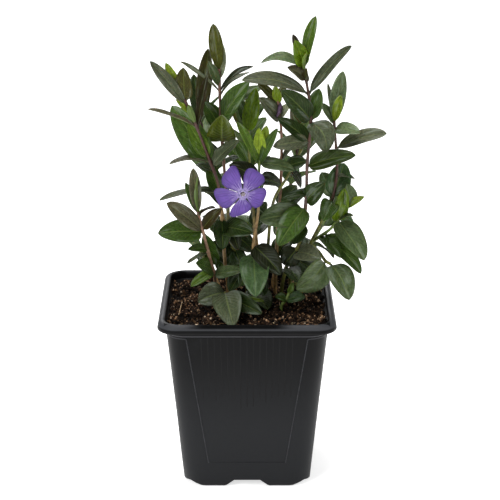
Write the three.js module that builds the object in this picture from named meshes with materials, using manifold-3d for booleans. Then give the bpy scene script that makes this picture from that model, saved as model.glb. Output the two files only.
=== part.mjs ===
// Lesser periwinkle in a square nursery pot, in bloom with one flower.
// Lengths are millimetres, +Z is up, the front of the pot looks along -Y,
// and the origin is on the ground under the middle of the pot.
import * as THREE from 'three';
import { mergeVertices } from 'three/addons/utils/BufferGeometryUtils.js';
import Module from 'manifold-3d';

const wasm = await Module();
wasm.setup();

// Pot
const rimWidth = 90;
const potHeight = 94;
const rimDrop = 4.8;
const rimBevel = 1;
const rimOpening = 84;
const bodyTop = 81.8;
const bodyFoot = 66.2;
const wall = 1.2;
const shoulderStep = 0.6;
const shoulderDrop = 2;
const shoulderRise = 0.6;
const footBevel = 1.2;
const cornerRadius = 10;
const cornerSteps = 3;
const floorUnderside = 4;
const footRing = 2.8;
const notchWide = 24;
const notchNarrow = 13.5;
const padRadius = 6;
const drainRadius = 3;
const drainOffset = 19;
const panelTop = 61;
const panelBottom = 40;
const panelFoot = 14.5;
const panelLine = 1;
const panelProud = 0.4;

// Soil
const clearance = 0.3;
const soilTop = 89.2;
const soilCells = 10;

// Stems and leaves
const stemFoot = 80;
const stemRise = 92;
const stemSides = 4;
const stemStep = 16;
const rootGirth = 1.3;
const tipGirth = 0.75;
const pedicelGirth = 0.6;
const blade = 0.66;
const neckWidth = 1.5;
const tipWidth = 0.7;
const foldShare = 0.12;

// Flower
const flowerCentre = new THREE.Vector3(-2, -26, 157);
const flowerFacing = new THREE.Vector3(0, -0.95, 0.31).normalize();
// Each petal: its angle, its length and how much longer its clockwise corner is.
const petals = [[-13, 11, -1], [56, 13.6, 0], [126, 14.2, 1.5], [191, 13.6, 1.3], [263, 10.6, 2.6]];
const petalFoot = 2.9;
const petalNeck = 1.8;
const petalSpread = 3.6;
const petalFlare = 1.1;
const cornerDrop = 2.1;
const petalThick = 0.7;
const petalTilt = 5;
const tubeLength = 9;

const vector = (point) => new THREE.Vector3(...point);

// Rings of equal count joined into one closed surface. Both faces of a thin
// blade get the same diagonals, so they never cross.
function loft(rings) {
  const count = rings[0].length;
  const half = count / 2;
  const positions = rings.flat().flatMap((point) => point.toArray());
  const faces = [];
  for (let k = 0; k < rings.length - 1; k += 1) {
    for (let j = 0; j < count; j += 1) {
      const a = k * count + j;
      const b = k * count + (j + 1) % count;
      const c = b + count;
      const d = a + count;
      if (j < half) faces.push(a, b, c, a, c, d);
      else faces.push(a, b, d, b, c, d);
    }
  }
  const last = (rings.length - 1) * count;
  for (let j = 0; j < half - 1; j += 1) {
    const near = [j, j + 1, count - 2 - j, count - 1 - j];
    faces.push(near[0], near[2], near[1], near[0], near[3], near[2]);
    const far = near.map((index) => index + last);
    faces.push(far[0], far[1], far[2], far[0], far[2], far[3]);
  }
  const geometry = new THREE.BufferGeometry();
  geometry.setAttribute('position', new THREE.Float32BufferAttribute(positions, 3));
  geometry.setIndex(faces);
  return geometry;
}

function toSolid(source) {
  const geometry = source.clone();
  geometry.deleteAttribute('normal');
  geometry.deleteAttribute('uv');
  const merged = mergeVertices(geometry, 1e-4);
  return new wasm.Manifold(new wasm.Mesh({
    numProp: 3,
    vertProperties: new Float32Array(merged.attributes.position.array),
    triVerts: new Uint32Array(merged.index.array),
  }));
}

function toGeometry(solid) {
  const mesh = solid.getMesh();
  const geometry = new THREE.BufferGeometry();
  geometry.setAttribute('position', new THREE.Float32BufferAttribute(mesh.vertProperties, 3));
  geometry.setIndex([...mesh.triVerts]);
  geometry.computeVertexNormals();
  return geometry;
}

const joined = (geometries) => geometries.map(toSolid).reduce((all, next) => all.add(next));

// A level square ring with round corners.
function squareRing(width, radius, z) {
  const ring = [];
  for (let corner = 0; corner < 4; corner += 1) {
    const start = corner * Math.PI / 2;
    const diagonal = start + Math.PI / 4;
    const reach = (width / 2 - radius) * Math.SQRT2;
    for (let step = 0; step <= cornerSteps; step += 1) {
      const angle = start + (step / cornerSteps) * (Math.PI / 2);
      ring.push(new THREE.Vector3(
        reach * Math.cos(diagonal) + radius * Math.cos(angle),
        reach * Math.sin(diagonal) + radius * Math.sin(angle),
        z,
      ));
    }
  }
  return ring;
}

const rimFoot = potHeight - rimDrop;
const bodyWidth = (z) => bodyFoot + (bodyTop - bodyFoot) * z / rimFoot;

function potOutside() {
  const shoulder = rimFoot - shoulderDrop;
  return loft([
    squareRing(bodyFoot - 1.5 * footBevel, cornerRadius - footBevel, 0),
    squareRing(bodyWidth(footBevel), cornerRadius, footBevel),
    squareRing(bodyWidth(shoulder), cornerRadius, shoulder),
    squareRing(bodyTop + 2 * shoulderStep, cornerRadius, shoulder + shoulderRise),
    squareRing(bodyTop + 2 * shoulderStep, cornerRadius, rimFoot),
    squareRing(rimWidth - 2 * rimBevel, cornerRadius, rimFoot),
    squareRing(rimWidth, cornerRadius, rimFoot + rimBevel),
    squareRing(rimWidth, cornerRadius, potHeight - rimBevel),
    squareRing(rimWidth - 2 * rimBevel, cornerRadius, potHeight),
  ]);
}

function potCavity(gap, floor, top) {
  const inset = 2 * (wall + gap);
  return loft([
    squareRing(bodyWidth(floor) - inset, cornerRadius - wall, floor),
    squareRing(bodyWidth(rimFoot) - inset, cornerRadius - wall, rimFoot - rimBevel),
    squareRing(rimOpening - 1 - 2 * gap, cornerRadius - wall, rimFoot + rimBevel),
    squareRing(rimOpening - 2 * gap, cornerRadius - wall, top - rimBevel / 2),
    squareRing(rimOpening - 2 * gap + 2 * rimBevel, cornerRadius - wall, top + rimBevel / 2),
  ]);
}

// The raised line round the panel of one face, lying on the face's slope.
function panelOutline() {
  const height = rimFoot - shoulderDrop - panelFoot;
  const outline = (inset) => [
    new THREE.Vector2(-panelBottom / 2 + inset, inset),
    new THREE.Vector2(panelBottom / 2 - inset, inset),
    new THREE.Vector2(panelTop / 2 - inset, height),
    new THREE.Vector2(-panelTop / 2 + inset, height),
  ];
  const shape = new THREE.Shape(outline(0));
  const inner = outline(panelLine);
  inner[2].y -= panelLine;
  inner[3].y -= panelLine;
  shape.holes.push(new THREE.Path(inner));
  const geometry = new THREE.ExtrudeGeometry(shape, { depth: wall, bevelEnabled: false });
  const slope = Math.atan2((bodyTop - bodyFoot) / 2, rimFoot);
  geometry.rotateX(Math.PI / 2 + slope);
  geometry.translate(0, wall - bodyWidth(panelFoot) / 2 - panelProud, panelFoot);
  return geometry;
}

function notch() {
  const shape = new THREE.Shape([
    new THREE.Vector2(-notchWide / 2, -1),
    new THREE.Vector2(notchWide / 2, -1),
    new THREE.Vector2(notchWide / 2, 0),
    new THREE.Vector2(notchNarrow / 2, floorUnderside),
    new THREE.Vector2(-notchNarrow / 2, floorUnderside),
    new THREE.Vector2(-notchWide / 2, 0),
  ]);
  const geometry = new THREE.ExtrudeGeometry(shape, { depth: rimWidth, bevelEnabled: false });
  geometry.rotateX(Math.PI / 2);
  geometry.translate(0, rimWidth / 2, 0);
  return geometry;
}

function uprightCylinder(radius, x, y, bottom, top, sides) {
  const geometry = new THREE.CylinderGeometry(radius, radius, top - bottom, sides);
  geometry.rotateX(Math.PI / 2);
  geometry.translate(x, y, (top + bottom) / 2);
  return geometry;
}

function potSolid() {
  let solid = toSolid(potOutside());
  for (let face = 0; face < 4; face += 1) {
    solid = solid.add(toSolid(panelOutline().rotateZ(face * Math.PI / 2)));
  }
  solid = solid.subtract(toSolid(potCavity(0, floorUnderside + wall, potHeight)));
  const recess = loft([
    squareRing(bodyFoot - 2 * footRing, cornerRadius - footRing, -1),
    squareRing(bodyFoot - 2 * footRing, cornerRadius - footRing, floorUnderside),
  ]);
  solid = solid.subtract(toSolid(recess));
  solid = solid.subtract(toSolid(notch()));
  solid = solid.subtract(toSolid(notch().rotateZ(Math.PI / 2)));
  solid = solid.add(toSolid(uprightCylinder(padRadius, 0, 0, 0, floorUnderside + wall / 2, 16)));
  for (const x of [-drainOffset, drainOffset]) {
    for (const y of [-drainOffset, drainOffset]) {
      const hole = uprightCylinder(drainRadius, x, y, -1, floorUnderside + wall + 1, 12);
      solid = solid.subtract(toSolid(hole));
    }
  }
  return solid;
}

// Each shoot: the node it belongs to, its root in the soil unless it forks from
// another shoot, the points its stem passes, and its leaves as
// [height of the leaf's node, tip x, y, z, width, arch, turn to the front].
const shoots = [
  {
    node: 'stem_far_left',
    root: [-10, 14],
    route: [[-11.5, 9, 108], [-13, 1, 136], [-15, -6, 158], [-19, -8, 170], [-25, -10, 187], [-31, -12, 202]],
    leaves: [
      [199, -47, -18, 222, 6, 0.8, 1],
      [201, -40, -12, 220, 5, 1, 0.8],
      [201, -31.3, -14, 218, 9, 1, 1.5],
      [188, -49, -12, 197, 7, 1, 0],
      [168, -38, 2, 195.5, 14, 2, 2.5],
      [194, -35, -13, 202, 3, 0.5, 0.5],
      [189, -29, -16, 200, 3, 0.5, 0],
      [186, -20, -5, 212, 5, 1, 0.3],
      [171, -29.7, -5, 188.7, 8, 1, 1.5],
      [169, -39, -12, 169, 7, 2, 0],
      [164, -26, 2, 165, 6, 1, 0],
      [150, -20, 2, 166, 8, 1.5, 1],
      [167, -4, -12, 181, 8, 1.5, 0.8],
      [131, 3, -14, 133, 11, 2, 1.2],
      [152, -44.6, -10, 149.3, 5.5, 3, 0],
      [136, -12.5, -4, 121, 9, 1.5, 1.5],
    ],
  },
  {
    node: 'stem_low_left',
    root: [-16, 5],
    route: [[-17.5, 1, 107], [-20, -6, 120], [-22, -9, 130], [-25, -12, 144]],
    leaves: [
      [143, -27, -14, 167, 6, 1, 1],
      [143, -25, -17, 163, 4, 0.5, 0],
      [143, -31, -12, 159, 4, 1, 0.5],
      [133, -40, -21, 151, 9, 1.5, 1],
      [132.5, -45, -18, 134.3, 12.5, 2, 1.2],
      [142, -16, -15, 147, 4, 1, 0],
      [134, -13, -14, 146, 7, 1, 1],
      [132, -16.4, 3, 110.5, 7.5, 1.5, 1],
      [122, -30, -14, 124.5, 5, 1, 0.8],
      [120, -31, -8, 115, 3, 1, 0],
      [108, -26, -14, 117, 9, 1, 1],
      [107, -29, -10, 103, 6, 1.5, 0.5],
      [106, -2, -9, 111.5, 7, 1, 1],
    ],
  },
  {
    node: 'stem_left_tall',
    root: [0, 17],
    route: [[-2, 12, 108], [-9, 5, 124], [-10, 5, 140], [-12, 5, 165], [-13.5, 5, 190], [-14, 4, 214]],
    leaves: [
      [213, -16.8, 2, 237, 7, 1, 1.5],
      [208, -13.4, 9, 227, 6.2, 1, 1],
      [205, -19.3, -2, 219, 4.5, 0.5, 1],
      [203, 3, 6, 215, 5, 2.6, 0.2],
      [200, 1, 11, 211, 4, 2, 0],
      [176, -12.3, -20, 195.5, 14.5, 2, 2.5],
      [187, 1, -6, 209, 12, 1.5, 1],
      [165, -28, 16, 176, 8, 1.5, 0],
      [140, -24, 14, 150, 10, 1.5, 0],
      [141, -1, -5, 150, 10, 1.5, 0.8],
      [104, -9, -4, 98, 10, 2, 0.5],
      [128, 3, 10, 116, 11, 2, 1],
      [203, -33.5, 10, 216.6, 4, 1, 0],
      [190, 7.8, 10, 203.8, 8, 2, 0.5],
      [182, -22, 10, 196, 9, 1.5, 1],
      [134, -4.5, -2, 120, 7.5, 1.5, 1.5],
      [118, -1.5, 3, 107, 9, 1.5, 1.5],
    ],
  },
  {
    node: 'stem_centre_front',
    root: [3, 8],
    route: [[3, 3, 112], [3.5, 0, 124], [5.8, -6, 143], [6, -11, 162], [6.3, -12, 171]],
    leaves: [
      [170, 6, -15, 188, 6.5, 1, 1],
      [170, 9.8, -10, 188, 5.5, 1, 1],
      [168, -5, -19, 192, 5, 1.5, 0.8],
      [168, 15, -16, 188, 5, 1.5, 0.8],
      [169, 24, -14, 166, 7, 2, 0.8],
      [161, 17, -20, 160, 8, 1.5, 1],
      [161, -9, -10, 168, 9, 1, 1],
      [122, 17.5, -12, 110, 12, 2, 0.8],
      [117, 4.4, -22, 101.5, 15, 2.5, 0.8],
      [112, -3.5, -8.5, 102.5, 8, 1.5, 0.8],
      [102, 9, -13, 99, 11, 2, 0.5],
      [95, 10.5, -13, 91.5, 13, 1, 0],
      [153, -3, -9.5, 164, 8, 1, 1],
    ],
  },
  {
    node: 'stem_centre_back',
    root: [8, 20],
    route: [[5, 14, 120], [2, 10, 150], [0.5, 8, 182]],
    leaves: [
      [181, 4.5, 3, 204.4, 8.5, 1, 1.2],
      [180, -6, 14, 200, 6, 1, 0],
      [180, 12, 14, 198, 6, 1, 0],
      [160, -6, 16, 174, 10, 1.5, 0],
      [140, -5, 20, 150, 10, 1.5, 0],
      [128, 10, 20, 140, 10, 1.5, 0],
    ],
  },
  {
    node: 'stem_centre_bud',
    root: [15, 16],
    route: [[16, 12, 125], [17.5, 8, 155], [17.3, 2, 184], [15.4, -2, 199]],
    leaves: [
      [198, 5.5, -5, 208, 5, 1, 0.5],
      [198, 20, 6, 207, 4, 1, 0],
      [188, 6, -9, 202, 7.5, 1.5, 1],
      [190, 22, -5, 198, 5, 1, 0.8],
      [166, 27, -7, 179, 6, 1.5, 0.6],
      [140, 26, 16, 150, 10, 1, 0],
      [128, 24, 20, 136, 10, 1, 0],
      [112, 24, 22, 120, 11, 2, 0],
      [150, 8, 2, 160, 8, 1.5, 0.5],
      [197, 14, -6, 207.5, 4.5, 0.5, 0.5],
    ],
  },
  {
    node: 'stem_slanting',
    root: [10, 12],
    route: [[11, 7, 120], [14, 3, 146], [21.5, 1, 160], [28.5, 3, 174]],
    leaves: [
      [162, 28, 4, 152, 6, 1, 0.8],
      [133, 5, 3, 142, 7, 1, 0],
      [173, 36, 6, 186, 6, 1, 0.5],
      [173, 24, 10, 188, 6, 1, 0],
    ],
  },
  {
    node: 'stem_right_tall',
    root: [18, 9],
    route: [
      [21, 4, 110], [26, -2, 121], [29, -6, 136], [30, -9, 150],
      [30.3, -11, 169], [31.8, -11, 193], [28, -10, 218.5],
    ],
    leaves: [
      [217.5, 33.4, -12, 243, 6.5, 1, 0.5],
      [217, 23.6, -14, 231.5, 7.5, 1, 0.8],
      [217, 22.6, -5, 233, 4, 1, 0.5],
      [217, 7, -8, 219.6, 6.5, 5, 0.6],
      [216, 29, -16, 226, 4, 0.5, 0.5],
      [212, 20, -14, 218.4, 7, 1, 1],
      [211, 29, -16, 218, 4.5, 0.5, 1],
      [204, -2.5, -14, 212, 9, 5.2, 0.8],
      [204, 51, -14, 229, 7, 2, 0.8],
      [191, 17, -20, 208, 11, 2, 1.5],
      [191, 36, -6, 206, 8, 1, 1],
      [180, 15.5, -8, 191.4, 8, 1.5, 1.2],
      [190, 39.8, -16, 175.9, 12, 8.5, 1],
      [167, 54, -18, 175, 10, 2, 1],
      [148, 39, -16, 160, 10, 1.5, 1.2],
      [152, 17, -13, 150, 6, 1.5, 0.5],
      [121, 19, -2, 112, 11, 1, 0.8],
      [118.5, 38, -13, 119, 10, 2.5, 1],
      [108, 27, -14, 106, 11, 2, 0.5],
      [136, 22, -10, 126, 10, 1.5, 0.8],
      [145, 15.7, -19, 128, 13, 3, 1],
      [180, 13, -15, 178.5, 8, 2, 1.5],
      [170, 18, -3, 163, 8, 2, 1],
      [141.5, 6.3, -14, 140.2, 14, 2, 1.5],
    ],
  },
  {
    node: 'stem_right_forked',
    root: [23, 16],
    route: [[24, 10, 110], [33, 5, 121.5], [43, 1, 130.5], [48, 0, 137], [54, 0, 146]],
    leaves: [
      [126, 48, -11, 119, 9, 2, 0.8],
      [128, 58.8, -10, 110, 10.5, 2, 0.8],
      [112, 42, -2, 102, 11, 2, 0.5],
      [135.5, 59.6, -18, 119.9, 14.5, 1, 1.2],
      [133, 47, -8, 131, 3, 0.5, 0],
      [134, 49.4, -5, 154, 9, 1, 1],
      [143.5, 51, -2, 155.7, 9, 1, 1],
      [143, 60, -2, 149, 4, 1, 0.5],
      [136, 54.5, -4, 139.6, 3.5, 1, 0.5],
    ],
  },
  {
    node: 'stem_right_forked',
    route: [[33, 5, 121.5], [39, 0, 136], [43.7, -1, 147], [46, 1, 161], [45.5, 3, 173], [44.2, 3, 187.5]],
    leaves: [
      [187, 48, 0, 213.5, 8, 1, 1],
      [187, 47, -4, 202, 5, 0.5, 1],
      [187, 41, 6, 206, 2.5, 1, 0.5],
      [186, 37.5, 4, 196.5, 5, 1, 0.5],
      [183, 57, -5, 183.2, 8, 1.5, 0.8],
      [173, 70.5, -3, 182.5, 9, 2.5, 0.8],
      [148, 50, 6, 164.6, 12.5, 1.5, 2],
      [146.5, 38.4, -21, 141.9, 9.5, 1.5, 0.6],
      [148, 38.3, 5, 160, 9, 1.5, 1.5],
      [159, 55.5, 4, 157, 4, 1, 0.5],
    ],
  },
  {
    node: 'stem_right_forked',
    route: [[33, 5, 121.5], [37.5, -2, 119], [40.6, -8, 116], [43, -9.5, 115]],
    leaves: [
      [116, 25.2, -15, 102.8, 16.5, 2.5, 1.2],
      [115, 52.2, -23, 100.2, 13.5, 3, 1],
    ],
  },
  {
    node: 'shoot_low_front',
    root: [18, -8],
    route: [[20.5, -8, 95], [22, -7, 99]],
    leaves: [
      [98, 24, -7, 104, 3, 0.5, 0.8],
      [95, 30, -11, 97.5, 7, 1, 0.8],
      [95, 14.5, -10, 97.5, 5, 1, 0.8],
    ],
  },
  {
    node: 'shoot_low_left',
    root: [-10.5, -5],
    route: [[-11.2, -7.5, 96], [-11.6, -9, 99.5]],
    leaves: [
      [99, -6.8, -37, 90.9, 15, 3, 0.6],
      [99, -25.4, -15, 96.4, 12.5, 3.5, 1],
      [97, 7.5, -25, 93.5, 10, 2, 1],
      [96, 8.5, -18, 98, 3, 1, 0.5],
    ],
  },
  {
    node: 'stem_back_left',
    root: [-6, 24],
    route: [[-10, 26, 115], [-16, 26, 145], [-22, 22, 172], [-24, 20, 183]],
    leaves: [
      [120, -24, 41, 126, 10, 2, 0],
      [106, -21, 14, 118, 12, 2, 1.5],
      [120, -10, 46, 126, 11, 2, 0],
      [137, -30, 14, 150, 8, 1.5, 0],
      [137, -14, 48, 148, 11, 2, 0],
      [154, -31, 38, 163, 11, 2, 0],
      [154, -4, 20, 164, 10, 1.5, 0],
      [170, -24, 44, 184, 10, 1.5, 0],
      [170, -30, 8, 182, 10, 1.5, 0],
      [182, -27.5, 20, 208, 7.5, 1, 0],
      [182, -14, 14, 198, 6, 1, 0],
      [183, -19.8, 14, 222.3, 8, 1, 1.5],
      [120, -19.5, 13, 127, 9, 1, 1.5],
      [115, -2.5, 17, 123, 9, 1, 1.5],
      [112, -15, 17, 102, 11, 1.5, 1.5],
      [112, -4, 18, 103, 9, 1.5, 1.5],
    ],
  },
  {
    node: 'stem_back_middle',
    root: [6, 28],
    route: [[4, 30, 120], [0, 32, 150], [-2, 30, 178]],
    leaves: [
      [118, -4, 48, 124, 11, 2, 0],
      [106, -6, 36, 100, 11, 2, 0],
      [118, 12, 46, 122, 11, 2, 0],
      [135, 8, 46, 146, 10, 1.5, 0],
      [152, -12, 46, 166, 10, 1.5, 0],
      [152, 12, 22, 164, 10, 1.5, 0],
      [166, 10, 44, 180, 10, 1.5, 0],
      [166, -14, 22, 182, 10, 1.5, 0],
      [177, -10, 40, 192, 7, 1, 0],
      [177, 4, 36, 197, 6, 1, 0],
      [177, -4, 20, 196, 6, 1, 0],
    ],
  },
  {
    node: 'stem_back_right',
    root: [14, 27],
    route: [[18, 30, 118], [23, 32, 145], [27, 31, 168]],
    leaves: [
      [116, 22, 50, 120, 11, 2, 0],
      [104, 30, 20, 98, 11, 2, 0],
      [130, 34, 40, 142, 11, 2, 0],
      [146, 20, 50, 158, 11, 2, 0],
      [146, 36, 22, 156, 10, 1.5, 0],
      [160, 40, 42, 172, 10, 1.5, 0],
      [160, 16, 30, 176, 10, 1.5, 0],
      [167, 24, 42, 186, 7, 1, 0],
      [167, 32, 20, 184, 7, 1, 0],
      [167, 36, 34, 186, 6, 1, 0],
    ],
  },
  {
    node: 'stem_back_far_right',
    root: [26, 27],
    route: [[31, 31, 106], [40, 33, 122], [46, 30, 136]],
    leaves: [
      [104, 34, 50, 110, 11, 2, 0],
      [112, 46, 16, 110, 8, 2, 0],
      [122, 50, 48, 130, 11, 2, 0],
      [130, 58, 30, 122, 11, 2, 0],
      [135, 50, 36, 150, 7, 1, 0],
      [135, 44, 20, 152, 7, 1, 0],
    ],
  },
  {
    node: 'stem_back_far_left',
    root: [-15, 20],
    route: [[-22, 26, 104], [-29, 28, 118]],
    leaves: [
      [104, -20, 46, 108, 11, 2, 0],
      [110, -38, 22, 124, 8, 1.5, 0],
      [117, -34, 42, 130, 7, 1, 0],
      [117, -38, 30, 134, 6, 1, 0],
      [117, -24, 20, 136, 6, 1, 0],
    ],
  },
];

const shootCurve = ({ root, route }) => new THREE.CatmullRomCurve3(
  (root ? [[...root, stemFoot], [...root, stemRise], ...route] : route).map(vector),
  false,
  'centripetal',
);

// A tapered stem with few sides along the curve.
function stemGeometry(curve, startGirth, endGirth) {
  const steps = Math.max(3, Math.round(curve.getLength() / stemStep));
  const frames = curve.computeFrenetFrames(steps);
  const rings = [];
  for (let k = 0; k <= steps; k += 1) {
    const centre = curve.getPointAt(k / steps);
    const girth = THREE.MathUtils.lerp(startGirth, endGirth, k / steps);
    const ring = [];
    for (let side = 0; side < stemSides; side += 1) {
      const angle = 2 * Math.PI * side / stemSides;
      ring.push(centre.clone()
        .addScaledVector(frames.normals[k], girth * Math.cos(angle))
        .addScaledVector(frames.binormals[k], girth * Math.sin(angle)));
    }
    rings.push(ring);
  }
  return loft(rings);
}

// Where the curve reaches a height, and its direction there.
function nodeAt(curve, height) {
  const samples = 120;
  let best = 0;
  for (let k = 1; k <= samples; k += 1) {
    const offset = Math.abs(curve.getPointAt(k / samples).z - height);
    if (offset < Math.abs(curve.getPointAt(best / samples).z - height)) best = k;
  }
  return { point: curve.getPointAt(best / samples), direction: curve.getTangentAt(best / samples) };
}

// The share of its full width that a leaf has along its length: a short stalk,
// the widest part before the middle, and a pointed tip.
const leafOutline = [[0, 0], [0.33, 0.92], [0.68, 0.86], [1, 0]];
const smallLeafOutline = [[0, 0], [0.5, 1], [1, 0]];
const smallLeaf = 16;
const plainLeaf = 22;

// A folded blade from its node to its tip. It arches towards its upper side,
// which faces along the stem unless turn brings it round to the front.
function leafGeometry({ point, direction }, [x, y, z], width, arch, turn) {
  const tip = new THREE.Vector3(x, y, z);
  const length = tip.distanceTo(point);
  const axis = tip.clone().sub(point).divideScalar(length);
  const up = direction.clone().addScaledVector(new THREE.Vector3(0, -1, 0), turn);
  up.addScaledVector(axis, -up.dot(axis)).normalize();
  const side = new THREE.Vector3().crossVectors(axis, up);
  const outline = length < smallLeaf ? smallLeafOutline : leafOutline;
  const rings = outline.map(([along, share]) => {
    const bow = 4 * along * (1 - along);
    const least = along < 0.5 ? neckWidth : tipWidth;
    const reach = Math.max(least, share * width) / 2;
    const fold = foldShare * share * width;
    const slope = 4 * (1 - 2 * along) * arch / length;
    const normal = up.clone().addScaledVector(axis, -slope).normalize();
    const centre = point.clone().addScaledVector(axis, along * length).addScaledVector(up, bow * arch);
    const corner = (sideways, level) => centre.clone()
      .addScaledVector(side, sideways)
      .addScaledVector(normal, level);
    const top = blade / 2;
    const upper = [corner(-reach, fold + top), corner(0, top), corner(reach, fold + top)];
    const under = [corner(reach, fold - top), corner(0, -top), corner(-reach, fold - top)];
    if (length < plainLeaf) return [upper[0], upper[2], under[0], under[2]];
    return [...upper, ...under];
  });
  return loft(rings);
}

function shootGeometries(shoot) {
  const curve = shootCurve(shoot);
  const start = shoot.root ? rootGirth : tipGirth + 0.2;
  const leaves = shoot.leaves.map(([height, x, y, z, width, arch, turn]) => (
    leafGeometry(nodeAt(curve, height), [x, y, z], width, arch, turn)
  ));
  return [stemGeometry(curve, start, tipGirth), ...leaves];
}

// The flower's own frame: its face is the plane z = 0 and it looks along +Z.
const flowerFrame = new THREE.Matrix4()
  .lookAt(flowerFacing, new THREE.Vector3(), new THREE.Vector3(0, 0, 1))
  .setPosition(flowerCentre);
const turned = (points) => new THREE.LatheGeometry(points.map(([r, z]) => new THREE.Vector2(r, z)), 10)
  .rotateX(Math.PI / 2);

function petalShape(length, skew) {
  const edge = (across) => length + skew * across - cornerDrop * across ** 4;
  const reach = (along) => petalNeck + petalSpread * Math.sin(Math.min(1, petalFlare * along) * Math.PI / 2);
  const spot = (across, along) => new THREE.Vector2(
    THREE.MathUtils.lerp(petalFoot, edge(across), along),
    -across * reach(along),
  );
  return new THREE.Shape([
    spot(1, 0), spot(1, 0.3), spot(1, 0.65), spot(1, 1), spot(0.6, 1),
    spot(-0.6, 1), spot(-1, 1), spot(-1, 0.65), spot(-1, 0.3), spot(-1, 0),
  ]);
}

function corollaSolid() {
  const blades = petals.map(([angle, length, skew]) => new THREE.ExtrudeGeometry(
    petalShape(length, skew),
    { depth: petalThick, bevelEnabled: false },
  )
    .translate(0, 0, -petalThick / 2)
    .rotateY(THREE.MathUtils.degToRad(petalTilt))
    .rotateZ(THREE.MathUtils.degToRad(angle)));
  const tube = turned([
    [1, -tubeLength], [1.7, -tubeLength], [2, -5], [2.9, -1.2], [3.7, 0.1],
    [2.7, 0.5], [2.1, -1.1], [1.3, -5], [1, -tubeLength],
  ]);
  return joined([tube, ...blades]);
}

const pistilGeometry = () => turned([
  [0, -tubeLength], [0.45, -tubeLength], [0.45, -3], [1.2, -2.6], [1.3, -1.8], [0.7, -1.1], [0, -0.9],
]);

// The pedicel rises from the stem's leaf node to the cup that holds the tube.
function calyxGeometries() {
  const floor = -tubeLength - clearance;
  const cup = turned([
    [0, floor - 1.4], [1.4, floor - 1.2], [2.6, floor], [2.8, -6.8], [2, -6.8], [2, floor], [0, floor],
  ]).applyMatrix4(flowerFrame);
  const foot = new THREE.Vector3(0, 0, floor - 1).applyMatrix4(flowerFrame);
  const route = [[5.9, -7.6, 150], [4, -10, 153], [0.5, -14, 154]].map(vector);
  const pedicel = new THREE.CatmullRomCurve3([...route, foot], false, 'centripetal');
  const sepals = [0, 1, 2, 3, 4].map((sepal) => {
    const angle = 2 * Math.PI * sepal / 5;
    const seat = new THREE.Vector3(2.3 * Math.cos(angle), 2.3 * Math.sin(angle), -7.6);
    const tip = new THREE.Vector3(4 * Math.cos(angle), 4 * Math.sin(angle), -4);
    const node = { point: seat.applyMatrix4(flowerFrame), direction: flowerFacing };
    return leafGeometry(node, tip.applyMatrix4(flowerFrame).toArray(), 1.5, 0.2, 0);
  });
  return [cup, stemGeometry(pedicel, pedicelGirth, pedicelGirth), ...sepals];
}

// Gentle lumps over the soil's surface.
const soilHeight = (x, y) => soilTop
  + 0.8 * Math.sin(0.31 * x + 0.6) * Math.cos(0.27 * y - 0.4)
  + 0.5 * Math.sin(0.83 * x + 0.47 * y)
  + 0.4 * Math.cos(0.52 * x - 0.91 * y + 1.3);

function soilSolid() {
  const top = new THREE.BoxGeometry(rimWidth, rimWidth, potHeight, soilCells, soilCells, 1);
  const { position } = top.attributes;
  for (let index = 0; index < position.count; index += 1) {
    if (position.getZ(index) > 0) {
      position.setZ(index, soilHeight(position.getX(index), position.getY(index)));
    }
  }
  const filling = potCavity(clearance, floorUnderside + wall + clearance, potHeight);
  let solid = toSolid(filling).intersect(toSolid(top));
  for (const { root } of shoots) {
    if (root) {
      const hole = uprightCylinder(
        rootGirth + 2 * clearance, ...root, stemFoot - clearance, potHeight, 6,
      );
      solid = solid.subtract(toSolid(hole));
    }
  }
  return solid;
}

const material = (color, roughness) => new THREE.MeshStandardMaterial({ color, roughness, metalness: 0 });
const potPlastic = material(0x26282b, 0.5);
const peat = material(0x2d1e16, 0.95);
const foliage = material(0x31502a, 0.45);
const violet = material(0x7652be, 0.6);
const cream = material(0xe6e2b4, 0.6);

const part = new THREE.Group();

function place(name, geometry, surface) {
  const mesh = new THREE.Mesh(geometry, surface);
  mesh.name = name;
  part.add(mesh);
  return mesh;
}

place('pot', toGeometry(potSolid()), potPlastic);
place('soil', toGeometry(soilSolid()), peat);
for (const node of new Set(shoots.map((shoot) => shoot.node))) {
  const pieces = shoots.filter((shoot) => shoot.node === node).flatMap(shootGeometries);
  if (node === 'stem_centre_front') pieces.push(...calyxGeometries());
  place(node, toGeometry(joined(pieces)), foliage);
}
place('corolla', toGeometry(corollaSolid()), violet).applyMatrix4(flowerFrame);
place('pistil', pistilGeometry(), cream).applyMatrix4(flowerFrame);

export default part;
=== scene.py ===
import math
import random

import bmesh
import bpy
from mathutils import Matrix, Vector, geometry, noise


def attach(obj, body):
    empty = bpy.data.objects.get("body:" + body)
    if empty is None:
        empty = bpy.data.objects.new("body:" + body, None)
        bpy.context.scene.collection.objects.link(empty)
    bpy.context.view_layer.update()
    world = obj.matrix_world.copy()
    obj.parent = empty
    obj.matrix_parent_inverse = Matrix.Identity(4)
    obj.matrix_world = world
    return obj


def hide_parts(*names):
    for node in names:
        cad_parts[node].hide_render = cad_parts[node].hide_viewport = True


# A lesser periwinkle in bloom, growing in a square nursery pot.
# Pieces are modelled in millimetres and brought to metres when they are finished.
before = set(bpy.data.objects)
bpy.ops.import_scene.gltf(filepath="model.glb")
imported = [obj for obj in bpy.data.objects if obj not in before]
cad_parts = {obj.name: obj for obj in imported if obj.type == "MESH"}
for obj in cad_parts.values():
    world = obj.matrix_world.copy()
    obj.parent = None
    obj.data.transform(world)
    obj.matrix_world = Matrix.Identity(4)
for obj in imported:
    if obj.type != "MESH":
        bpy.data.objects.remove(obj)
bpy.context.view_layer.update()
scene = bpy.context.scene
mm = 0.001
fullTurn = 2 * math.pi
upward = Vector((0, 0, 1))
frontward = Vector((0, -1, 0))
print("frame loaded")


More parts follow.
